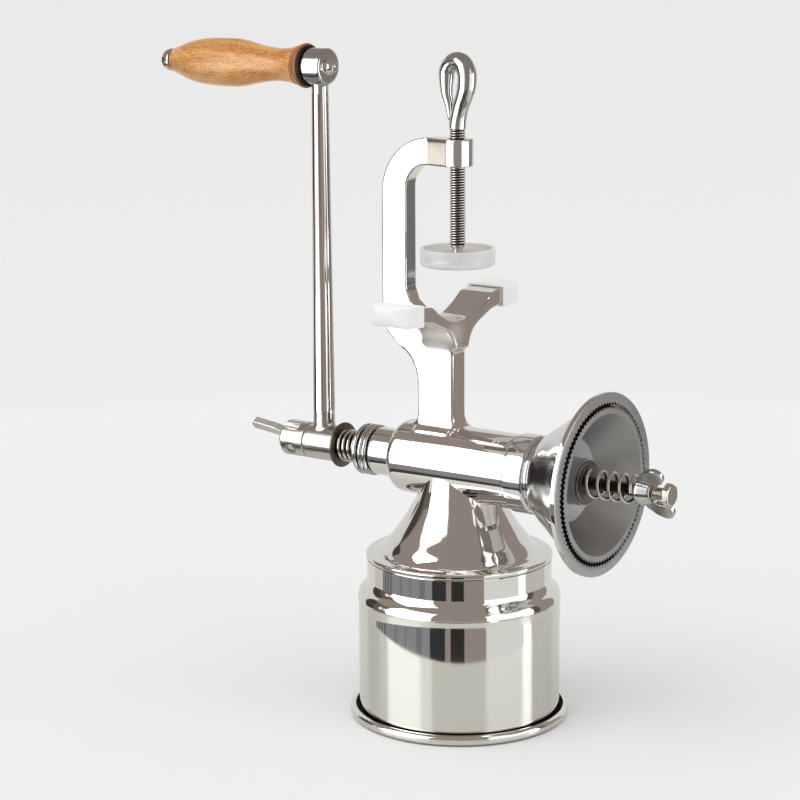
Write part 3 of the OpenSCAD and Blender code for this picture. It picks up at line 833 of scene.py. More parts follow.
@dataclass
class Casting(Part):
    """Barrel, trunk, fork and clamp frame in one polished casting, with its inlet cone."""

    skin: float = 0.6
    rounds: int = 44
    barrel_r: float = 18.5
    rear_x: float = -34.0
    front_x: float = 37.2
    neck_end: float = -48.2
    bore_r: float = 14.6
    flange_z: float = 81.4
    trunk: tuple[float, float] = (143.0, 178.0)
    saddle_z: float = 201.2
    foot_half: float = 12.0
    foot_x: tuple[float, float] = (-25.0, 4.0)
    post_face: float = -28.6
    post_half: float = 4.1
    post_z: tuple[float, float] = (204.0, 268.0)
    inlet_r: float = 14.0
    turned_share: float = 0.05
    foot_share: float = 0.6
    edge_share: float = 0.42
    front_share: float = 0.7
    rear_share: float = 0.34
    frame_share: float = 0.1

    def share(self, p: Vector) -> float:
        """Share of the rounding: most under the saddle, least along post and arm.

        Args:
            p: a place in millimetres.

        Returns:
            the share, 0 to 1.
        """
        low, high = self.trunk
        at_foot = abs(p.y) < self.foot_half and self.foot_x[0] < p.x < self.foot_x[1]
        if p.z < low or (at_foot and p.z < low + 8):
            return self.foot_share if at_foot and p.z > low - 5 else self.turned_share
        if p.z < high:
            return self.edge_share if p.x < -13 else 1.0
        if p.z < self.saddle_z + 8 and p.x > -30:
            ledge = abs(p.y) < 16 and p.x > -8 and p.z < self.saddle_z - 4
            if ledge or p.z < high + 12:
                return 1.0
            return self.front_share if p.x > -6 else self.rear_share
        return self.frame_share

    def barrel(self) -> Piece:
        """Turns the barrel with its rear neck and opens it to the inlet.

        Returns:
            the barrel.
        """
        r, x = self.barrel_r, self.rear_x
        piece = turn("barrel", Axis.SHAFT, [
            (12.2, self.neck_end + 0.4), (12.2, x - 0.6), (12.8, x + 0.02), (r - 5.2, x),
            *arc(r - 5, x + 5, 5, -90, 0, 12), (r, self.front_x), (self.bore_r, self.front_x),
            (self.bore_r, x + 4), (6.1, x + 4), (6.1, self.neck_end), (11.8, self.neck_end)], 160)
        clear_selection()
        bpy.ops.mesh.primitive_cylinder_add(
            vertices=96, radius=self.inlet_r * MM, depth=24 * MM, location=(0, 0, 117 * MM))
        return combine(piece, named("inlet_drill"), "DIFFERENCE")

    def cone(self) -> Piece:
        """Turns the inlet cone with its flange and the spigot in the hopper's neck.

        Returns:
            the cone.
        """
        z, inlet = self.flange_z, self.inlet_r
        flow = flowing([(42.4, z + 2.62), (40.2, z + 3.3), (38, z + 5.4), (35.3, 90.5),
                        (31.7, 95), (27.6, 101), (24, 107), (21.8, 111), (20.2, 115),
                        (19, 119), (18.2, 124)], 5)
        bore = flowing([(inlet, 121), (15.4, 117), (18, 111.5), (20.9, 107), (24.4, 101),
                        (28.6, 95), (32.2, 90.5), (35.6, 86), (39.5, 82.4), (43.04, 80.4)], 4)
        return turn("inlet_cone", Axis.HOPPER, [
            (45.44, z - 7.3), (45.44, z + 0.05), (46.5, z + 0.05),
            *arc(45.9, z + 0.75, 0.75, -70, 0, 4), (46.65, z + 1.5),
            *arc(45.75, z + 1.7, 0.9, 0, 90, 7), (44.2, z + 2.56), *flow, (inlet, 124),
            *bore, (43.04, z - 7.3)], 192)

    def build(self) -> None:
        """Unites the turned barrel with copies of the trunk, the fork and the frame."""
        foot = solid_copy("mill_body", "trunk_foot")
        clear_selection()
        bpy.ops.mesh.primitive_cube_add(size=1, location=(-6 * MM, 0, 149 * MM))
        bpy.context.object.scale = (50 * MM, 50 * MM, 20 * MM)
        bpy.ops.object.transform_apply(scale=True, location=True)
        piece = combine(foot, named("upper_block"), "INTERSECT")
        for other in (self.barrel(), solid_copy("clamp_frame", "casting_frame"),
                      solid_copy("foot_fork", "casting_fork")):
            combine(piece, other, "UNION")
        soften(piece, self.skin, self.rounds, self.share)
        piece.name = piece.data.name = "polished_casting"
        self.dress(piece, "cast", "mill", "polished_cast", "mill_body", "clamp_frame", "foot_fork")
        bottom, top = self.post_z
        # the post's ground face: rougher, and its greyer tone is painted reflection
        self.paint(piece, "ground", lambda p: abs(p.x - self.post_face) < 0.7
                   and abs(p.y) < self.post_half and bottom < p.z < top)
        self.dress(self.cone(), "cast", "mill", "polished_cast")


@dataclass
class SoftParts(Part):
    """White sleeves on the feet, and the milky cup with the disc under the screw."""

    pad_z: float = 228.0
    pad_r: float = 18.4
    rim: float = 8.8

    def build(self) -> None:
        """Rounds both sleeves and turns cup and disc."""
        for side in ("near", "far"):
            node = "foot_cap_" + side
            piece = soften(solid_copy(node, f"silicone_sleeve_{side}"), 0.5, 26,
                           lambda p: 1.0 if abs(p.y) > 44 else 0.25)
            self.dress(piece, "soft", "mill", "soft_white", node)
        z, r = self.pad_z, self.pad_r
        cup = turn("silicone_cup", Axis.SCREW, [
            (0, z), (r - 3.4, z), *arc(r - 1.9, z + 1.9, 1.9, -90, 0, 8),
            *arc(r - 0.6, z + self.rim - 0.6, 0.6, 0, 90, 4),
            *arc(r - 1.1, z + self.rim - 0.5, 0.5, 90, 180, 4),
            (r - 1.6, z + 5.0), *arc(r - 2.4, z + 4.3, 0.5, 0, -90, 3),
            (r - 2.4, z + 2.62), (0, z + 2.62)], 128, 40)
        self.dress(cup, "cup", "pad", "soft_white", "pad_cup")
        dome = flowing([(16.2, z + 4.2), (14.6, z + 4.65), (11, z + 5.8), (7.4, z + 7.0),
                        (5.6, z + 7.3)], 5)
        disc = turn("domed_disc", Axis.SCREW, [
            (2.6, z + 2.7), (16.2, z + 2.7), (16.4, z + 2.9), (16.4, z + 3.9), *dome,
            (4.8, z + 7.35), (2.9, z + 7.35), (2.6, z + 7.1)], 128, 30)
        self.dress(disc, "disc", "pad", "plain_disc", "pad_disc")


@dataclass
class ClampScrew(Part):
    """Threaded rod whose upper end is bent to an eye."""

    foot_z: float = 238.2
    thread_top: float = 295.6
    loop_z: float = 299.0
    ring_z: float = 320.7
    bend_r: float = 6.5
    rod_r: float = 4.1
    strand_r: float = 4.68
    root_r: float = 3.3
    crest_r: float = 4.1
    pitch: float = 1.25
    lean_deg: float = -10.0

    def eye_path(self) -> list[tuple[float, ...]]:
        """Path of the bent end, from its pointed tip round to the straight rod.

        Returns:
            three coordinates and a radius for each place, in millimetres.
        """
        u, r, w, top = self.bend_r, self.rod_r, self.strand_r, self.ring_z
        tip = [(1.4 - u, 0.4, top - 22.6, 0.7), (1.3 - u, 0.4, top - 20.5, 1.45),
               (0.5 - u, 0.4, top - 14.3, 2.35), (-0.75 - u, 0, top - 8.6, 2.95),
               (-0.7 - u, 0, top, 3.9)]
        turn_at = [math.radians(157.5 - 22.5 * i) for i in range(7)]
        over = [((u + 0.35 * (1 - i / 3)) * math.cos(a), 0, top + u * math.sin(a), r + 0.1 * i)
                for i, a in enumerate(turn_at)]
        down = [(u, 0, top, w), (u - 0.3, 0, top - 5.3, w - 0.1),
                (u - 1.9, 0, top - 10.2, w - 0.4), (u - 3.8, 0, top - 14.3, r),
                (1.2, 0, top - 18.5, r - 0.1), (0.15, 0, self.loop_z - 1.2, r),
                (0, 0, self.thread_top - 0.6, r)]
        lean = math.radians(self.lean_deg)
        middle = Axis.SCREW.centre
        return [(middle.x + a * math.cos(lean) - b * math.sin(lean),
                 middle.y + a * math.sin(lean) + b * math.cos(lean), z, w)
                for a, b, z, w in flowing([*tip, *over, *down], 5)]

    def build(self) -> None:
        """Builds core, thread and eye."""
        foot, root = self.foot_z, self.root_r
        core = turn("screw_core", Axis.SCREW, [
            (0, 231.1), (2.2, 231.1), (2.45, 231.4), (2.45, 236.6), (3.0, 236.9), (3.3, 237.4),
            (root, foot), (root + 0.05, self.thread_top), (3.9, self.thread_top + 0.8),
            (0, self.thread_top + 0.8)], 48)
        skin = thread("screw_thread", Axis.SCREW, foot - 0.4, self.thread_top + 0.3, root,
                      self.crest_r, self.pitch, 24)
        screw = join("threaded_eye_screw", [core, skin, tube("screw_eye", self.eye_path(), 28)])
        self.dress(screw, "turned", "screw", "turned_steel", "clamp_screw")
        axis = Axis.SCREW.centre
        # painted shade: the thread's valleys are near black
        self.paint(screw, "gap", lambda p: foot < p.z < self.thread_top + 0.3
                   and (p - axis).xy.length < root + 0.12)
        self.paint(screw, "forged", lambda p: p.z > self.thread_top + 0.4)


@dataclass
class GrindingHead(Part):
    """Flared head on the barrel's front, with the lip that holds the fixed burr."""

    face_x: float = 83
    lip_r: float = 44.7
    ring_r: float = 41.02

    def build(self) -> None:
        """Turns the bell with its collar, its recessed throat and its flat lip."""
        x, r = self.face_x, self.lip_r
        flare = flowing([(19.5, 51.0), (20.9, 52.4), (25.2, 58), (29.3, 64), (33.7, 70),
                         (38, 76), (40.5, 79.2), (41.6, 80.1)], 6)
        outside = [(18.8, 37.2), (19.2, 37.3), (19.55, 37.75), (19.6, 38.3), (19.6, 46.9),
                   *arc(17.6, 47.0, 2.0, 0, 78, 9), (17.95, 49.4), (17.95, 49.9),
                   (18.4, 50.4), *flare]
        lip = [*arc(r - 0.7, x - 2.1, 0.7, -90, 0, 5), *arc(r - 0.5, x - 0.5, 0.5, 0, 90, 5),
               (self.ring_r, x), (self.ring_r, x - 2.2), (39, 79), (19.3, 52.6), (17.2, 49.3),
               (14.8, 49), (14.8, 37.2)]
        bell = turn("flared_bell", Axis.SHAFT, [*outside, *lip], 192)
        self.dress(bell, "bell", "mill", "polished_bell", "bell_head")
        self.paint(bell, "lip", lambda p: p.x > x - 0.4)


@dataclass
class Burrs(Part):
    """The two toothed rings of matte steel, with painted shade and painted light on the flanks
    between their teeth.
    """

    tooth_r: float = 35.9
    back_x: float = 79.0
    front_x: float = 82.9
    back_t: float = 1.2

    def build(self) -> None:
        """Copies both solids and paints the flanks that face each other.

        Painted shade makes them near black on the near side; on the far side, where light falls on
        them, pale steel is painted light.
        """
        for node, name, body in (("outer_burr", "fixed_burr_ring", "mill"),
                                 ("inner_burr", "turning_burr", "drive")):
            piece = finish_shape(solid_copy(node, name), 24)
            self.dress(piece, "matte", body, "matte_burr", node)
            piece.data.materials.append(self.finishes["gap"])
            piece.data.materials.append(self.finishes["satin"])
            for face in piece.data.polygons:
                spot = face.center / MM
                away = from_shaft(spot)
                flank = abs(face.normal.x) < 0.5 and spot.x > self.back_x
                deep = spot.x < self.back_x + self.back_t
                if away > self.tooth_r and (flank or deep) and spot.x < self.front_x:
                    # painted shade near black on the near side, pale steel as painted light on the
                    # far side
                    face.material_index = 1 if spot.y < 6 + away / 8 else 2


@dataclass
class Coil:
    """Round spring wire wound about the shaft's axis."""

    name: str
    start: float
    end: float
    outside_d: float
    wire_d: float
    turns: float

    def build(self) -> Piece:
        """Winds the wire and closes its ends.

        Returns:
            the coil.
        """
        r = self.wire_d / 2
        clear_selection()
        bpy.ops.mesh.primitive_circle_add(
            vertices=14, radius=r * MM, fill_type="NOTHING",
            location=(0, 0, (self.outside_d / 2 - r) * MM), rotation=(math.pi / 2, 0, 0))
        piece = named(self.name)
        bpy.ops.object.transform_apply(location=True, rotation=True)
        wind(piece, "X", Vector((self.start + r, 0, SHAFT_Z)), self.turns,
             self.end - self.start - 2 * r, round(44 * self.turns))
        with editing(piece):
            bpy.ops.mesh.remove_doubles(threshold=MERGE_MM * MM)
            bpy.ops.mesh.select_all(action="DESELECT")
            bpy.ops.mesh.select_non_manifold()
            bpy.ops.mesh.edge_face_add()
        return finish_shape(piece, 50)


@dataclass
class Springs(Part):
    """The two springs on the shaft."""

    front: Coil = field(default_factory=lambda: Coil(
        "front_spring_coil", 75.2, 102.4, 14.8, 1.7, 4.25))
    rear: Coil = field(default_factory=lambda: Coil(
        "rear_spring_coil", -71, -57.6, 16.8, 1.8, 3.9))

    def build(self) -> None:
        """Winds both; the front one gets its finish but no body."""
        front = self.front.build()
        front.data.materials.append(self.finishes["wire"])
        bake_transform(front)
        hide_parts("front_spring")
        rear = self.dress(self.rear.build(), "wire", "mill", "spring_wire", "rear_spring")
        # painted shade: the faces turned to the axis get the near-black steel
        for piece, coil in ((front, self.front), (rear, self.rear)):
            inside = coil.outside_d / 2 - 0.62 * coil.wire_d
            self.paint(piece, "dull", lambda p: from_shaft(p) < inside)


@dataclass
class ShaftLine(Part):
    """Collar, washers, bolt and nut on the crank's shaft."""

    collar_x: float = -57.6
    neck_end: float = -48.2
    washer_x: float = -72.3
    boss_x: float = 73.8
    head_x: float = 117.2
    bolt_root: float = 2.52
    bolt_crest: float = 2.98
    nut_x: float = 100

    def ridge(self, x: float, wide: float, r: float = 13.08) -> Line:
        """One rounded ridge of the collar.

        Args:
            x: where it starts along the shaft.
            wide: its width.
            r: its radius.

        Returns:
            its profile.
        """
        c = min(1.1, wide / 2 - 0.05)
        return [(r - 1.3, x), *arc(r - c, x + c, c, -70, 0, 4),
                *arc(r - c, x + wide - c, c, 0, 70, 4), (r - 1.3, x + wide)]

    def build(self) -> None:
        """Turns collar and washers, builds the bolt and rounds the wing nut."""
        x = self.collar_x
        collar = turn("ridged_collar", Axis.SHAFT, [
            (6.1, x + 0.3), (8.6, x + 0.1), (11.4, x), *self.ridge(x, 2.6),
            (10.5, x + 2.75), (10.5, x + 3.45), *self.ridge(x + 3.6, 2.4),
            (11.5, x + 6.1), *self.ridge(x + 6.2, 2.3), (10.5, x + 8.6),
            (10.5, self.neck_end), (6.1, self.neck_end)], 128)
        self.dress(collar, "forged", "mill", "turned_steel", "rear_collar")
        # painted shade: near black in the grooves between the ridges and in the bore
        self.paint(collar, "gap", lambda p: from_shaft(p) < 10.7)
        for name, x, thick, r, hole, node in (
                ("rear_thrust_washer", self.washer_x, 1.3, 11.6, 6.02, "rear_washer"),
                ("large_washer", self.boss_x, 0.8, 10.8, 3.06, "washer_large"),
                ("small_washer", self.boss_x + 0.8, 0.6, 8.4, 3.06, "washer_small")):
            c = thick * 0.3
            piece = turn(name, Axis.SHAFT, [
                (hole, x + 0.1), (r - c, x), (r - 0.3 * c, x + 0.3 * c), (r, x + c),
                (r, x + thick - c), (r - 0.3 * c, x + thick - 0.3 * c), (r - c, x + thick),
                (hole, x + thick - 0.1)], 96, 50)
            self.dress(piece, "washer", "drive", "turned_steel", node)
        self.bolt()
        nut = soften(solid_copy("wing_nut", "winged_nut"), 0.3, 6)
        self.dress(nut, "forged", "wing_nut", "turned_steel", "wing_nut")

    def bolt(self) -> None:
        """Builds the bolt from its core, its thread and its hexagon head."""
        x, root = self.head_x, self.bolt_root
        core = turn("bolt_core", Axis.SHAFT, [
            (0, 62), (2.2, 62), (root, 62.5), (root, x + 0.2), (0, x + 0.2)], 32)
        skin = thread("bolt_thread", Axis.SHAFT, 62.4, x - 0.2, root, self.bolt_crest, 1.0, 20)
        head = soften(solid_copy("tension_bolt", "bolt_head"), 0.22, 5)
        with editing(head):
            bpy.ops.mesh.bisect(plane_co=((x - 0.15) * MM, 0, 0), plane_no=(1, 0, 0),
                                use_fill=True, clear_inner=True)
        bolt = join("hexagon_bolt", [core, skin, head])
        self.dress(bolt, "turned", "drive", "turned_steel", "tension_bolt")
        self.paint(bolt, "brass", lambda p: self.nut_x < p.x < x - 0.2)
        # painted shade: the bolt up to the nut, inside the spring and the burr, is near black
        self.paint(bolt, "dull", lambda p: p.x <= self.nut_x)


@dataclass
class Crank(Part):
    """Hub, arm and eye in one forging, with the cap screw and its folding lever."""

    fillet_z: tuple[float, float] = (135.5, 145.0)
    arm_x: float = -83.7
    arm_r: tuple[float, float] = (5.73, 4.25)
    arm_reach: float = 8.2
    eye_fillet: tuple[float, float] = (13.5, 6.5)
    arm_share: float = 0.1
    eye_share: float = 0.5
    lean_deg: float = 36.0
    pin_x: float = -99.8
    pin_up: float = 1.6
    pin_rings: tuple[tuple[float, float], ...] = ((2.1, 2.5), (2.95, 3.25))
    lever_tilt: float = 12.2
    lever_crown: float = 0.9

    def share(self, p: Vector) -> float:
        """Share of the rounding: most where the arm grows out of hub and eye.

        Args:
            p: a place in millimetres.

        Returns:
            the share, 0 to 1.
        """
        low, high = self.fillet_z
        under, over = self.eye_fillet
        near = abs(p.x - self.arm_x) < self.arm_reach
        if near and low < p.z < high:
            return 1.0
        if near and GRIP_Z - under < p.z < GRIP_Z - over:
            return self.eye_share
        return self.arm_share

    def build(self) -> None:
        """Rounds a copy of the forging, trues its arm and adds the folding lock."""
        crank = soften(solid_copy("crank", "forged_crank"), 0.5, 34, self.share)
        self.dress(crank, "forged", "drive", "polished_crank", "crank")
        low, high = self.fillet_z[1], GRIP_Z - self.eye_fillet[0]
        wide, slim = self.arm_r
        for vertex in crank.data.vertices:
            p = vertex.co / MM
            share = max(0.0, min(1.0, (p.z - low) / 6, (high - p.z) / 6))
            out = Vector((p.x - self.arm_x, p.y, 0))
            radius = wide + (slim - wide) * (p.z - SHAFT_Z) / (GRIP_Z - SHAFT_Z)
            if share:
                vertex.co += out * (radius / out.length - 1) * share * MM
        # the arm: lengthwise bumps, with brown streaks of painted reflection
        self.paint(crank, "drawn", lambda p: low + 1 < p.z < high)
        self.paint(crank, "hub", lambda p: p.z < low - 2)
        self.lock()

    def lock(self) -> None:
        """Rounds the cap screw with its pin, and crowns the lever that folds on it."""
        lean, tilt = math.radians(self.lean_deg), math.radians(self.lever_tilt)
        axis = Vector((0, math.cos(lean), math.sin(lean)))
        across = Vector((0, -math.sin(lean), math.cos(lean)))
        middle = Axis.SHAFT.centre + Vector((self.pin_x, 0, 0)) + across * self.pin_up

        def ring(p: Vector) -> bool:
            """Whether a place is in the two fine grooves round the pin's end.

            Args:
                p: the place in millimetres.

            Returns:
                True in a groove.
            """
            away = p - middle
            off = (away - axis * away.dot(axis)).length
            return abs(away.dot(axis)) > 6.5 and any(a < off < b for a, b in self.pin_rings)

        cap = soften(solid_copy("lock_screw", "slotted_cap_screw"), 0.3, 5)
        self.dress(cap, "hub", "drive", "polished_crank", "lock_screw")
        # painted shade: the two fine grooves round the pin's end are near black
        self.paint(cap, "gap", ring)
        lever = soften(solid_copy("lock_lever", "folding_lever"), 0.25, 9)
        crown = across * math.cos(tilt) + Vector((math.sin(tilt), 0, 0))
        outward = crown * math.sin(tilt) - Vector((crown.length, 0, 0))
        # the crown starts 9 mm from the pin, where the lever has left the slot
        for vertex in lever.data.vertices:
            away = vertex.co / MM - middle
            share = max(0.0, min(1.0, away.dot(outward) / 4 - 2.2))
            if away.dot(crown) > 0.4:
                vertex.co += crown * self.lever_crown * share * MM
        self.dress(lever, "satin", "lever", "polished_crank", "lock_lever")
        pin = soften(solid_copy("lever_pin", "lever_pivot"), 0.2, 4)
        self.dress(pin, "hub", "drive", "turned_steel", "lever_pin")


@dataclass
class Grip(Part):
    """Varnished wooden grip on its axle, between a thin washer, near black as painted shade, and a
    domed cap.
    """

    x: float = -91.3
    length: float = 87.0
    eye_x: float = -78.1
    cap_x: float = -186.2
    hole_r: float = 3.06

    def wood(self) -> Line:
        """Profile of the grip, from the axle at the outer end to the scorched end's face.

        Returns:
            the profile.
        """
        e = self.x
        outer = flowing([
            (6.3, e - 85.9), (8.4, e - 79.9), (9.8, e - 75.9), (10.9, e - 71.3),
            (11.6, e - 66.8), (12.1, e - 60.8), (12.35, e - 53.8), (12.35, e - 47.8),
            (12.15, e - 43.2), (11.45, e - 38.7), (10.55, e - 34.7), (9.75, e - 30.2),
            (8.95, e - 25.7), (8.45, e - 21.2), (8.25, e - 17.7), (8.45, e - 13.2),
            (9.15, e - 8.2), (9.95, e - 5.1)], 4)
        start, hole = e - self.length + 0.45, self.hole_r
        return [(hole, start), (5.0, start), *arc(5.2, start + 0.8, 0.8, -90, -40, 3), *outer,
                (9.95, e - 4.8), (9.55, e - 4.5), (9.6, e - 4.2), (10.1, e - 3.7),
                (10.75, e - 2.5), (11.2, e - 1.2), (11.25, e - 0.7),
                *arc(10.75, e - 0.55, 0.5, 0, 90, 4), (hole, e - 0.05)]

    def build(self) -> None:
        """Turns wood, axle, washer and cap."""
        wood = turn("turned_grip", Axis.GRIP, self.wood(), 128, 50)
        self.dress(wood, "wood", "grip", "varnished_wood", "wood_grip")
        x, c, e, hole = self.eye_x, self.cap_x, self.x, self.hole_r
        axle = turn("grip_axle_rivet", Axis.GRIP, [
            (0, c + 3.4), (2.9, c + 3.4), (2.9, x - 0.2), (4.2, x + 0.02),
            (4.35, x + 0.3), (4.0, x + 1.15), *arc(2.55, x + 1.6, 1.0, -10, 0, 2),
            (2.95, x + 2.4), (2.75, x + 3.3), *arc(2.1, x + 3.3, 0.55, 10, 100, 5),
            (1.35, x + 3.8), (1.05, x + 3.35), (0.5, x + 3.05), (0, x + 3.0)], 64, 50)
        self.dress(axle, "turned", "drive", "turned_steel", "grip_axle")
        washer = turn("grip_end_washer", Axis.GRIP, [
            (hole, e + 0.12), (9.6, e + 0.12), (10.3, e + 0.4), (10.3, e + 1.2),
            (9.8, e + 1.55), (hole, e + 1.55)], 96)
        # the washer's near-black tone is painted shade of the slit between wood and eye
        self.dress(washer, "gap", "drive", "plain_disc", "grip_washer")
        cap = turn("domed_cap", Axis.GRIP, [
            *flowing([(0, c + 0.02), (1.6, c + 0.3), (3.3, c + 1.1), (4.7, c + 2.3),
                      (5.5, c + 3.8), (5.82, c + 5.2)], 4),
            (5.86, c + 6.6), *arc(5.36, c + 7.0, 0.5, 0, 90, 4), (3.05, c + 7.5),
            (3.05, c + 3.3), (0, c + 3.3)], 64, 40)
        self.dress(cap, "turned", "drive", "turned_steel", "grip_cap")


class CadNodes(Part):
    """The CAD nodes, whose shapes stay and which only get their finish."""

    NODES = {
        "cast": "mill_body clamp_frame foot_fork", "bell": "bell_head", "sheet": "hopper",
        "forged": "rear_collar wing_nut crank lock_lever", "hub": "lock_screw lever_pin",
        "turned": "auger clamp_screw tension_bolt grip_axle grip_cap", "dull": "shaft",
        "matte": "outer_burr inner_burr", "wire": "front_spring rear_spring",
        "washer": "washer_large washer_small rear_washer", "disc": "pad_disc",
        "soft": "foot_cap_near foot_cap_far", "cup": "pad_cup", "wood": "wood_grip",
        "gap": "grip_washer"}

    def build(self) -> None:
        """Gives every node its finish, also those that a shaped piece stands for."""
        for finish, names in self.NODES.items():
            for name in names.split():
                data = FRAME["nodes"][name].data
                data.materials.clear()
                data.materials.append(self.finishes[finish])


# ---------------------------------------------------------------- the studio


def hide_from(piece: Piece, *rays: str) -> None:
    """Hides a piece from kinds of rays.

    Args:
        piece: the piece.
        rays: camera, diffuse, glossy, shadow, transmission or volume_scatter.
    """
    for kind in rays:
        setattr(piece, "visible_" + kind, False)


@dataclass(frozen=True)
class Panel:
    """An upright card round the mill that only reflections see.

    Angles are seen from above, 0 towards the camera and positive to its right.
    """

    name: str
    start_deg: float
    end_deg: float
    low: float
    high: float
    colour: str
    strength: float = 1.0
    distance: float = 700


@dataclass
class Studio:
    """Camera, plain floor, soft lamps, pale backdrop and the cards round the mill.

    The stand is a second, smaller floor that only mirrors see.
    """

    eye: tuple[float, float, float] = (651.61, -970.41, 407.56)
    heading_deg: float = 35.314
    pitch_deg: float = 11.915
    roll_deg: float = -0.355
    focal_px: float = 2415.2
    frame_px: float = 800
    sensor_mm: float = 36
    backdrop: str = "#f4f4f4"
    room: str = "#9c918a"
    level: float = 0.62
    floor_r: float = 12000
    stand_r: float = 200
    stand_centre: tuple[float, float] = (-15, 20)
    panels: tuple[Panel, ...] = (
        Panel("back_wall", 127, 233, -330, 620, "#e8e7e5", 0.95, 800),
        Panel("left_softbox", -88, -32, -50, 900, "#ffffff", 1.7),
        Panel("left_softbox_core", -88, -45, -45, 900, "#ffffff", 3.4, 690),
        Panel("left_softbox_edge", -100, -88, 60, 220, "#efe6da", 1.35),
        Panel("right_softbox", 28, 84, -82, 430, "#ffffff", 1.5),
        Panel("right_softbox_core", 73, 86, -82, 430, "#ffffff", 4.5, 690),
        Panel("right_softbox_top", 36, 54, 430, 760, "#ffffff", 1.3),
        Panel("under_left_softbox", -108, -32, -232, -50, "#929195", 1.0),
        Panel("floor_edge_left", -108, -32, -420, -232, "#4b433d", 1.0),
        Panel("streak_a", -78, -75, -232, -50, "#7e7c84", 1.0, 690),
        Panel("streak_b", -64, -62, -232, -50, "#807e86", 1.0, 690),
        Panel("streak_c", -50, -43, -232, -50, "#7c7a80", 1.0, 690),
        Panel("dark_stripe_a", -34, -17, -420, -50, "#39383a", 1.0, 690),
        Panel("dark_stripe_b", -11, 4, -420, -50, "#35332f", 1.0, 690),
        Panel("left_pale", -127, -108, -420, -82, "#d1d0ca", 1.0, 690),
        Panel("right_pale", 28, 86, -420, -82, "#e8e8e6", 1.0, 690),
        Panel("right_pale_streak", 74, 86, -420, -82, "#ffffff", 1.3, 680),
        Panel("right_grey", 86, 127, -420, -82, "#cbc8c4", 1.0, 690),
        Panel("left_dark", -127, -110, -420, 420, "#4a4440", 1.0),
        Panel("left_mid", -110, -90, -420, 420, "#6d645d", 1.0),
        Panel("right_dark", 87, 97, -420, 420, "#5f5852", 1.0))

    def camera(self) -> None:
        """Sets the camera where the photograph was taken from."""
        a, p, roll = (math.radians(x) for x in (self.heading_deg, self.pitch_deg, self.roll_deg))
        ahead = Vector((-math.sin(a) * math.cos(p), math.cos(a) * math.cos(p), -math.sin(p)))
        right = Vector((math.cos(a), math.sin(a), 0))
        up = right.cross(ahead)
        right, up = (right * math.cos(roll) + up * math.sin(roll),
                     up * math.cos(roll) - right * math.sin(roll))
        data = bpy.data.cameras.new("photo_camera")
        data.sensor_width = self.sensor_mm
        data.lens = self.focal_px / self.frame_px * self.sensor_mm
        data.clip_start, data.clip_end = 0.05, 20
        seat = bpy.data.objects.new("photo_camera", data)
        turned = Matrix((right, up, -ahead)).transposed().to_4x4()
        seat.matrix_world = Matrix.Translation(Vector(self.eye) * MM) @ turned
        bpy.context.scene.collection.objects.link(seat)
        bpy.context.scene.camera = seat

    def bearing(self, angle_deg: float) -> Vector:
        """Level direction at an angle from the camera's side.

        Args:
            angle_deg: the angle, positive to the camera's right.

        Returns:
            the direction.
        """
        a = math.radians(self.heading_deg)
        t = math.radians(angle_deg)
        near = Vector((math.sin(a), -math.cos(a), 0))
        right = Vector((math.cos(a), math.sin(a), 0))
        return near * math.cos(t) + right * math.sin(t)

    def card(self, panel: Panel) -> None:
        """Hangs one card: an upright strip that is swung round the mill's axis.

        Args:
            panel: the card.
        """
        clear_selection()
        start = self.bearing(panel.start_deg) * panel.distance
        piece = wire_line("card_" + panel.name, [
            start + Vector((0, 0, panel.low)), start + Vector((0, 0, panel.high))])
        sweep = panel.end_deg - panel.start_deg
        with editing(piece):
            bpy.ops.mesh.spin(steps=max(1, round(sweep / 5)), angle=math.radians(-sweep),
                              center=(0, 0, 0), axis=(0, 0, 1))
        made = blank("card_" + panel.name)
        glow = add(made.node_tree, "Emission", Color=linear(panel.colour), Strength=panel.strength)
        add(made.node_tree, "OutputMaterial", Surface=glow)
        made.cycles.emission_sampling = "NONE"
        piece.data.materials.append(made)
        hide_from(piece, "camera", "diffuse", "shadow", "transmission", "volume_scatter")

    def ground(self, name: str, radius: float, z: float, colour: str, roughness: float,
               gloss: float, unseen_by: tuple[str, ...]) -> None:
        """Lays a round plate under the mill.

        Args:
            name: its name.
            radius: its radius in millimetres.
            z: its height.
            colour: its hex colour.
            roughness: its roughness.
            gloss: strength of its sheen.
            unseen_by: kinds of rays that it is hidden from.
        """
        clear_selection()
        x, y = self.stand_centre
        bpy.ops.mesh.primitive_circle_add(
            vertices=128, radius=radius * MM, fill_type="NGON", location=(x * MM, y * MM, z * MM))
        piece = named("studio_" + name)
        hide_from(piece, *unseen_by)
        made = blank("pale_" + name)
        skin = add(made.node_tree, "BsdfPrincipled", Roughness=roughness,
                   Base_Color=linear(colour), Specular_IOR_Level=gloss)
        add(made.node_tree, "OutputMaterial", Surface=skin)
        piece.data.materials.append(made)

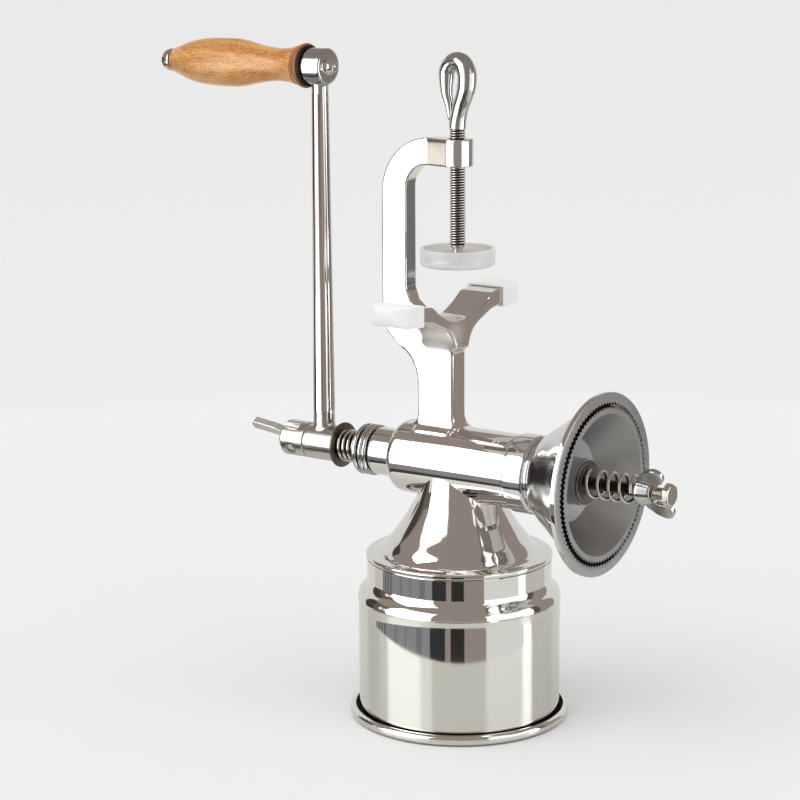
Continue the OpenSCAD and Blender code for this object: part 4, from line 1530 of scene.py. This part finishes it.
    def lamps(self) -> None:
        """Hangs three broad soft suns that mirrors don't see."""
        for name, angle, height, spread, power in (
                ("key", -60, 48, 50, 0.75), ("fill", 58, 35, 60, 0.45), ("top", 0, 80, 70, 0.5)):
            aim = -(self.bearing(angle) * math.cos(math.radians(height))
                    + Vector((0, 0, math.sin(math.radians(height)))))
            light = bpy.data.lights.new("soft_" + name, "SUN")
            light.angle = math.radians(spread)
            light.energy = power
            lamp = bpy.data.objects.new("soft_" + name, light)
            lamp.rotation_mode = "QUATERNION"
            lamp.rotation_quaternion = aim.to_track_quat("-Z", "Y")
            lamp.visible_glossy = False
            bpy.context.scene.collection.objects.link(lamp)

    def world(self) -> None:
        """Pale backdrop for the camera, a warm grey room for mirrors, plain light for the rest."""
        world = bpy.data.worlds.new("studio_air")
        world.use_nodes = True
        tree = world.node_tree
        tree.nodes.clear()
        path = add(tree, "LightPath").node.outputs
        seen = add(tree, "Background", Color=linear(self.backdrop), Strength=1.0)
        room = add(tree, "Background", Color=linear(self.room), Strength=1.0)
        level = add(tree, "Background", Color=linear("#ffffff"), Strength=self.level)
        mirror = add(tree, "MixShader", in_0=path["Is Glossy Ray"], in_1=level, in_2=room)
        direct = add(tree, "Math", {"operation": "MAXIMUM"}, in_0=path["Is Camera Ray"],
                     in_1=path["Is Transmission Ray"])
        both = add(tree, "MixShader", in_0=direct, in_1=mirror, in_2=seen)
        add(tree, "OutputWorld", Surface=both)
        bpy.context.scene.world = world

    def build(self) -> None:
        """Sets the studio up."""
        bpy.context.scene.view_settings.view_transform = "Standard"
        self.camera()
        self.world()
        self.lamps()
        self.ground("floor", self.floor_r, -0.35, "#eeeeee", 0.6, 0.1, ("glossy",))
        self.ground("stand", self.stand_r, -0.3, "#d9dad4", 0.26, 0.5,
                    ("camera", "diffuse", "shadow"))
        for panel in self.panels:
            self.card(panel)


def main() -> None:
    """Builds the studio and the mill's parts in order."""
    logging.basicConfig(level=logging.INFO, format="%(name)s %(message)s")
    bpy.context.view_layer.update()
    finishes = Finishes()
    Studio().build()
    for part in (Hopper, Casting, SoftParts, ClampScrew, GrindingHead, Burrs, Springs,
                 ShaftLine, Crank, Grip, CadNodes):
        part(finishes).build()
        LOG.info("built %s", part.__name__)


if __name__ == "__main__":
    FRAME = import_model()
    main()
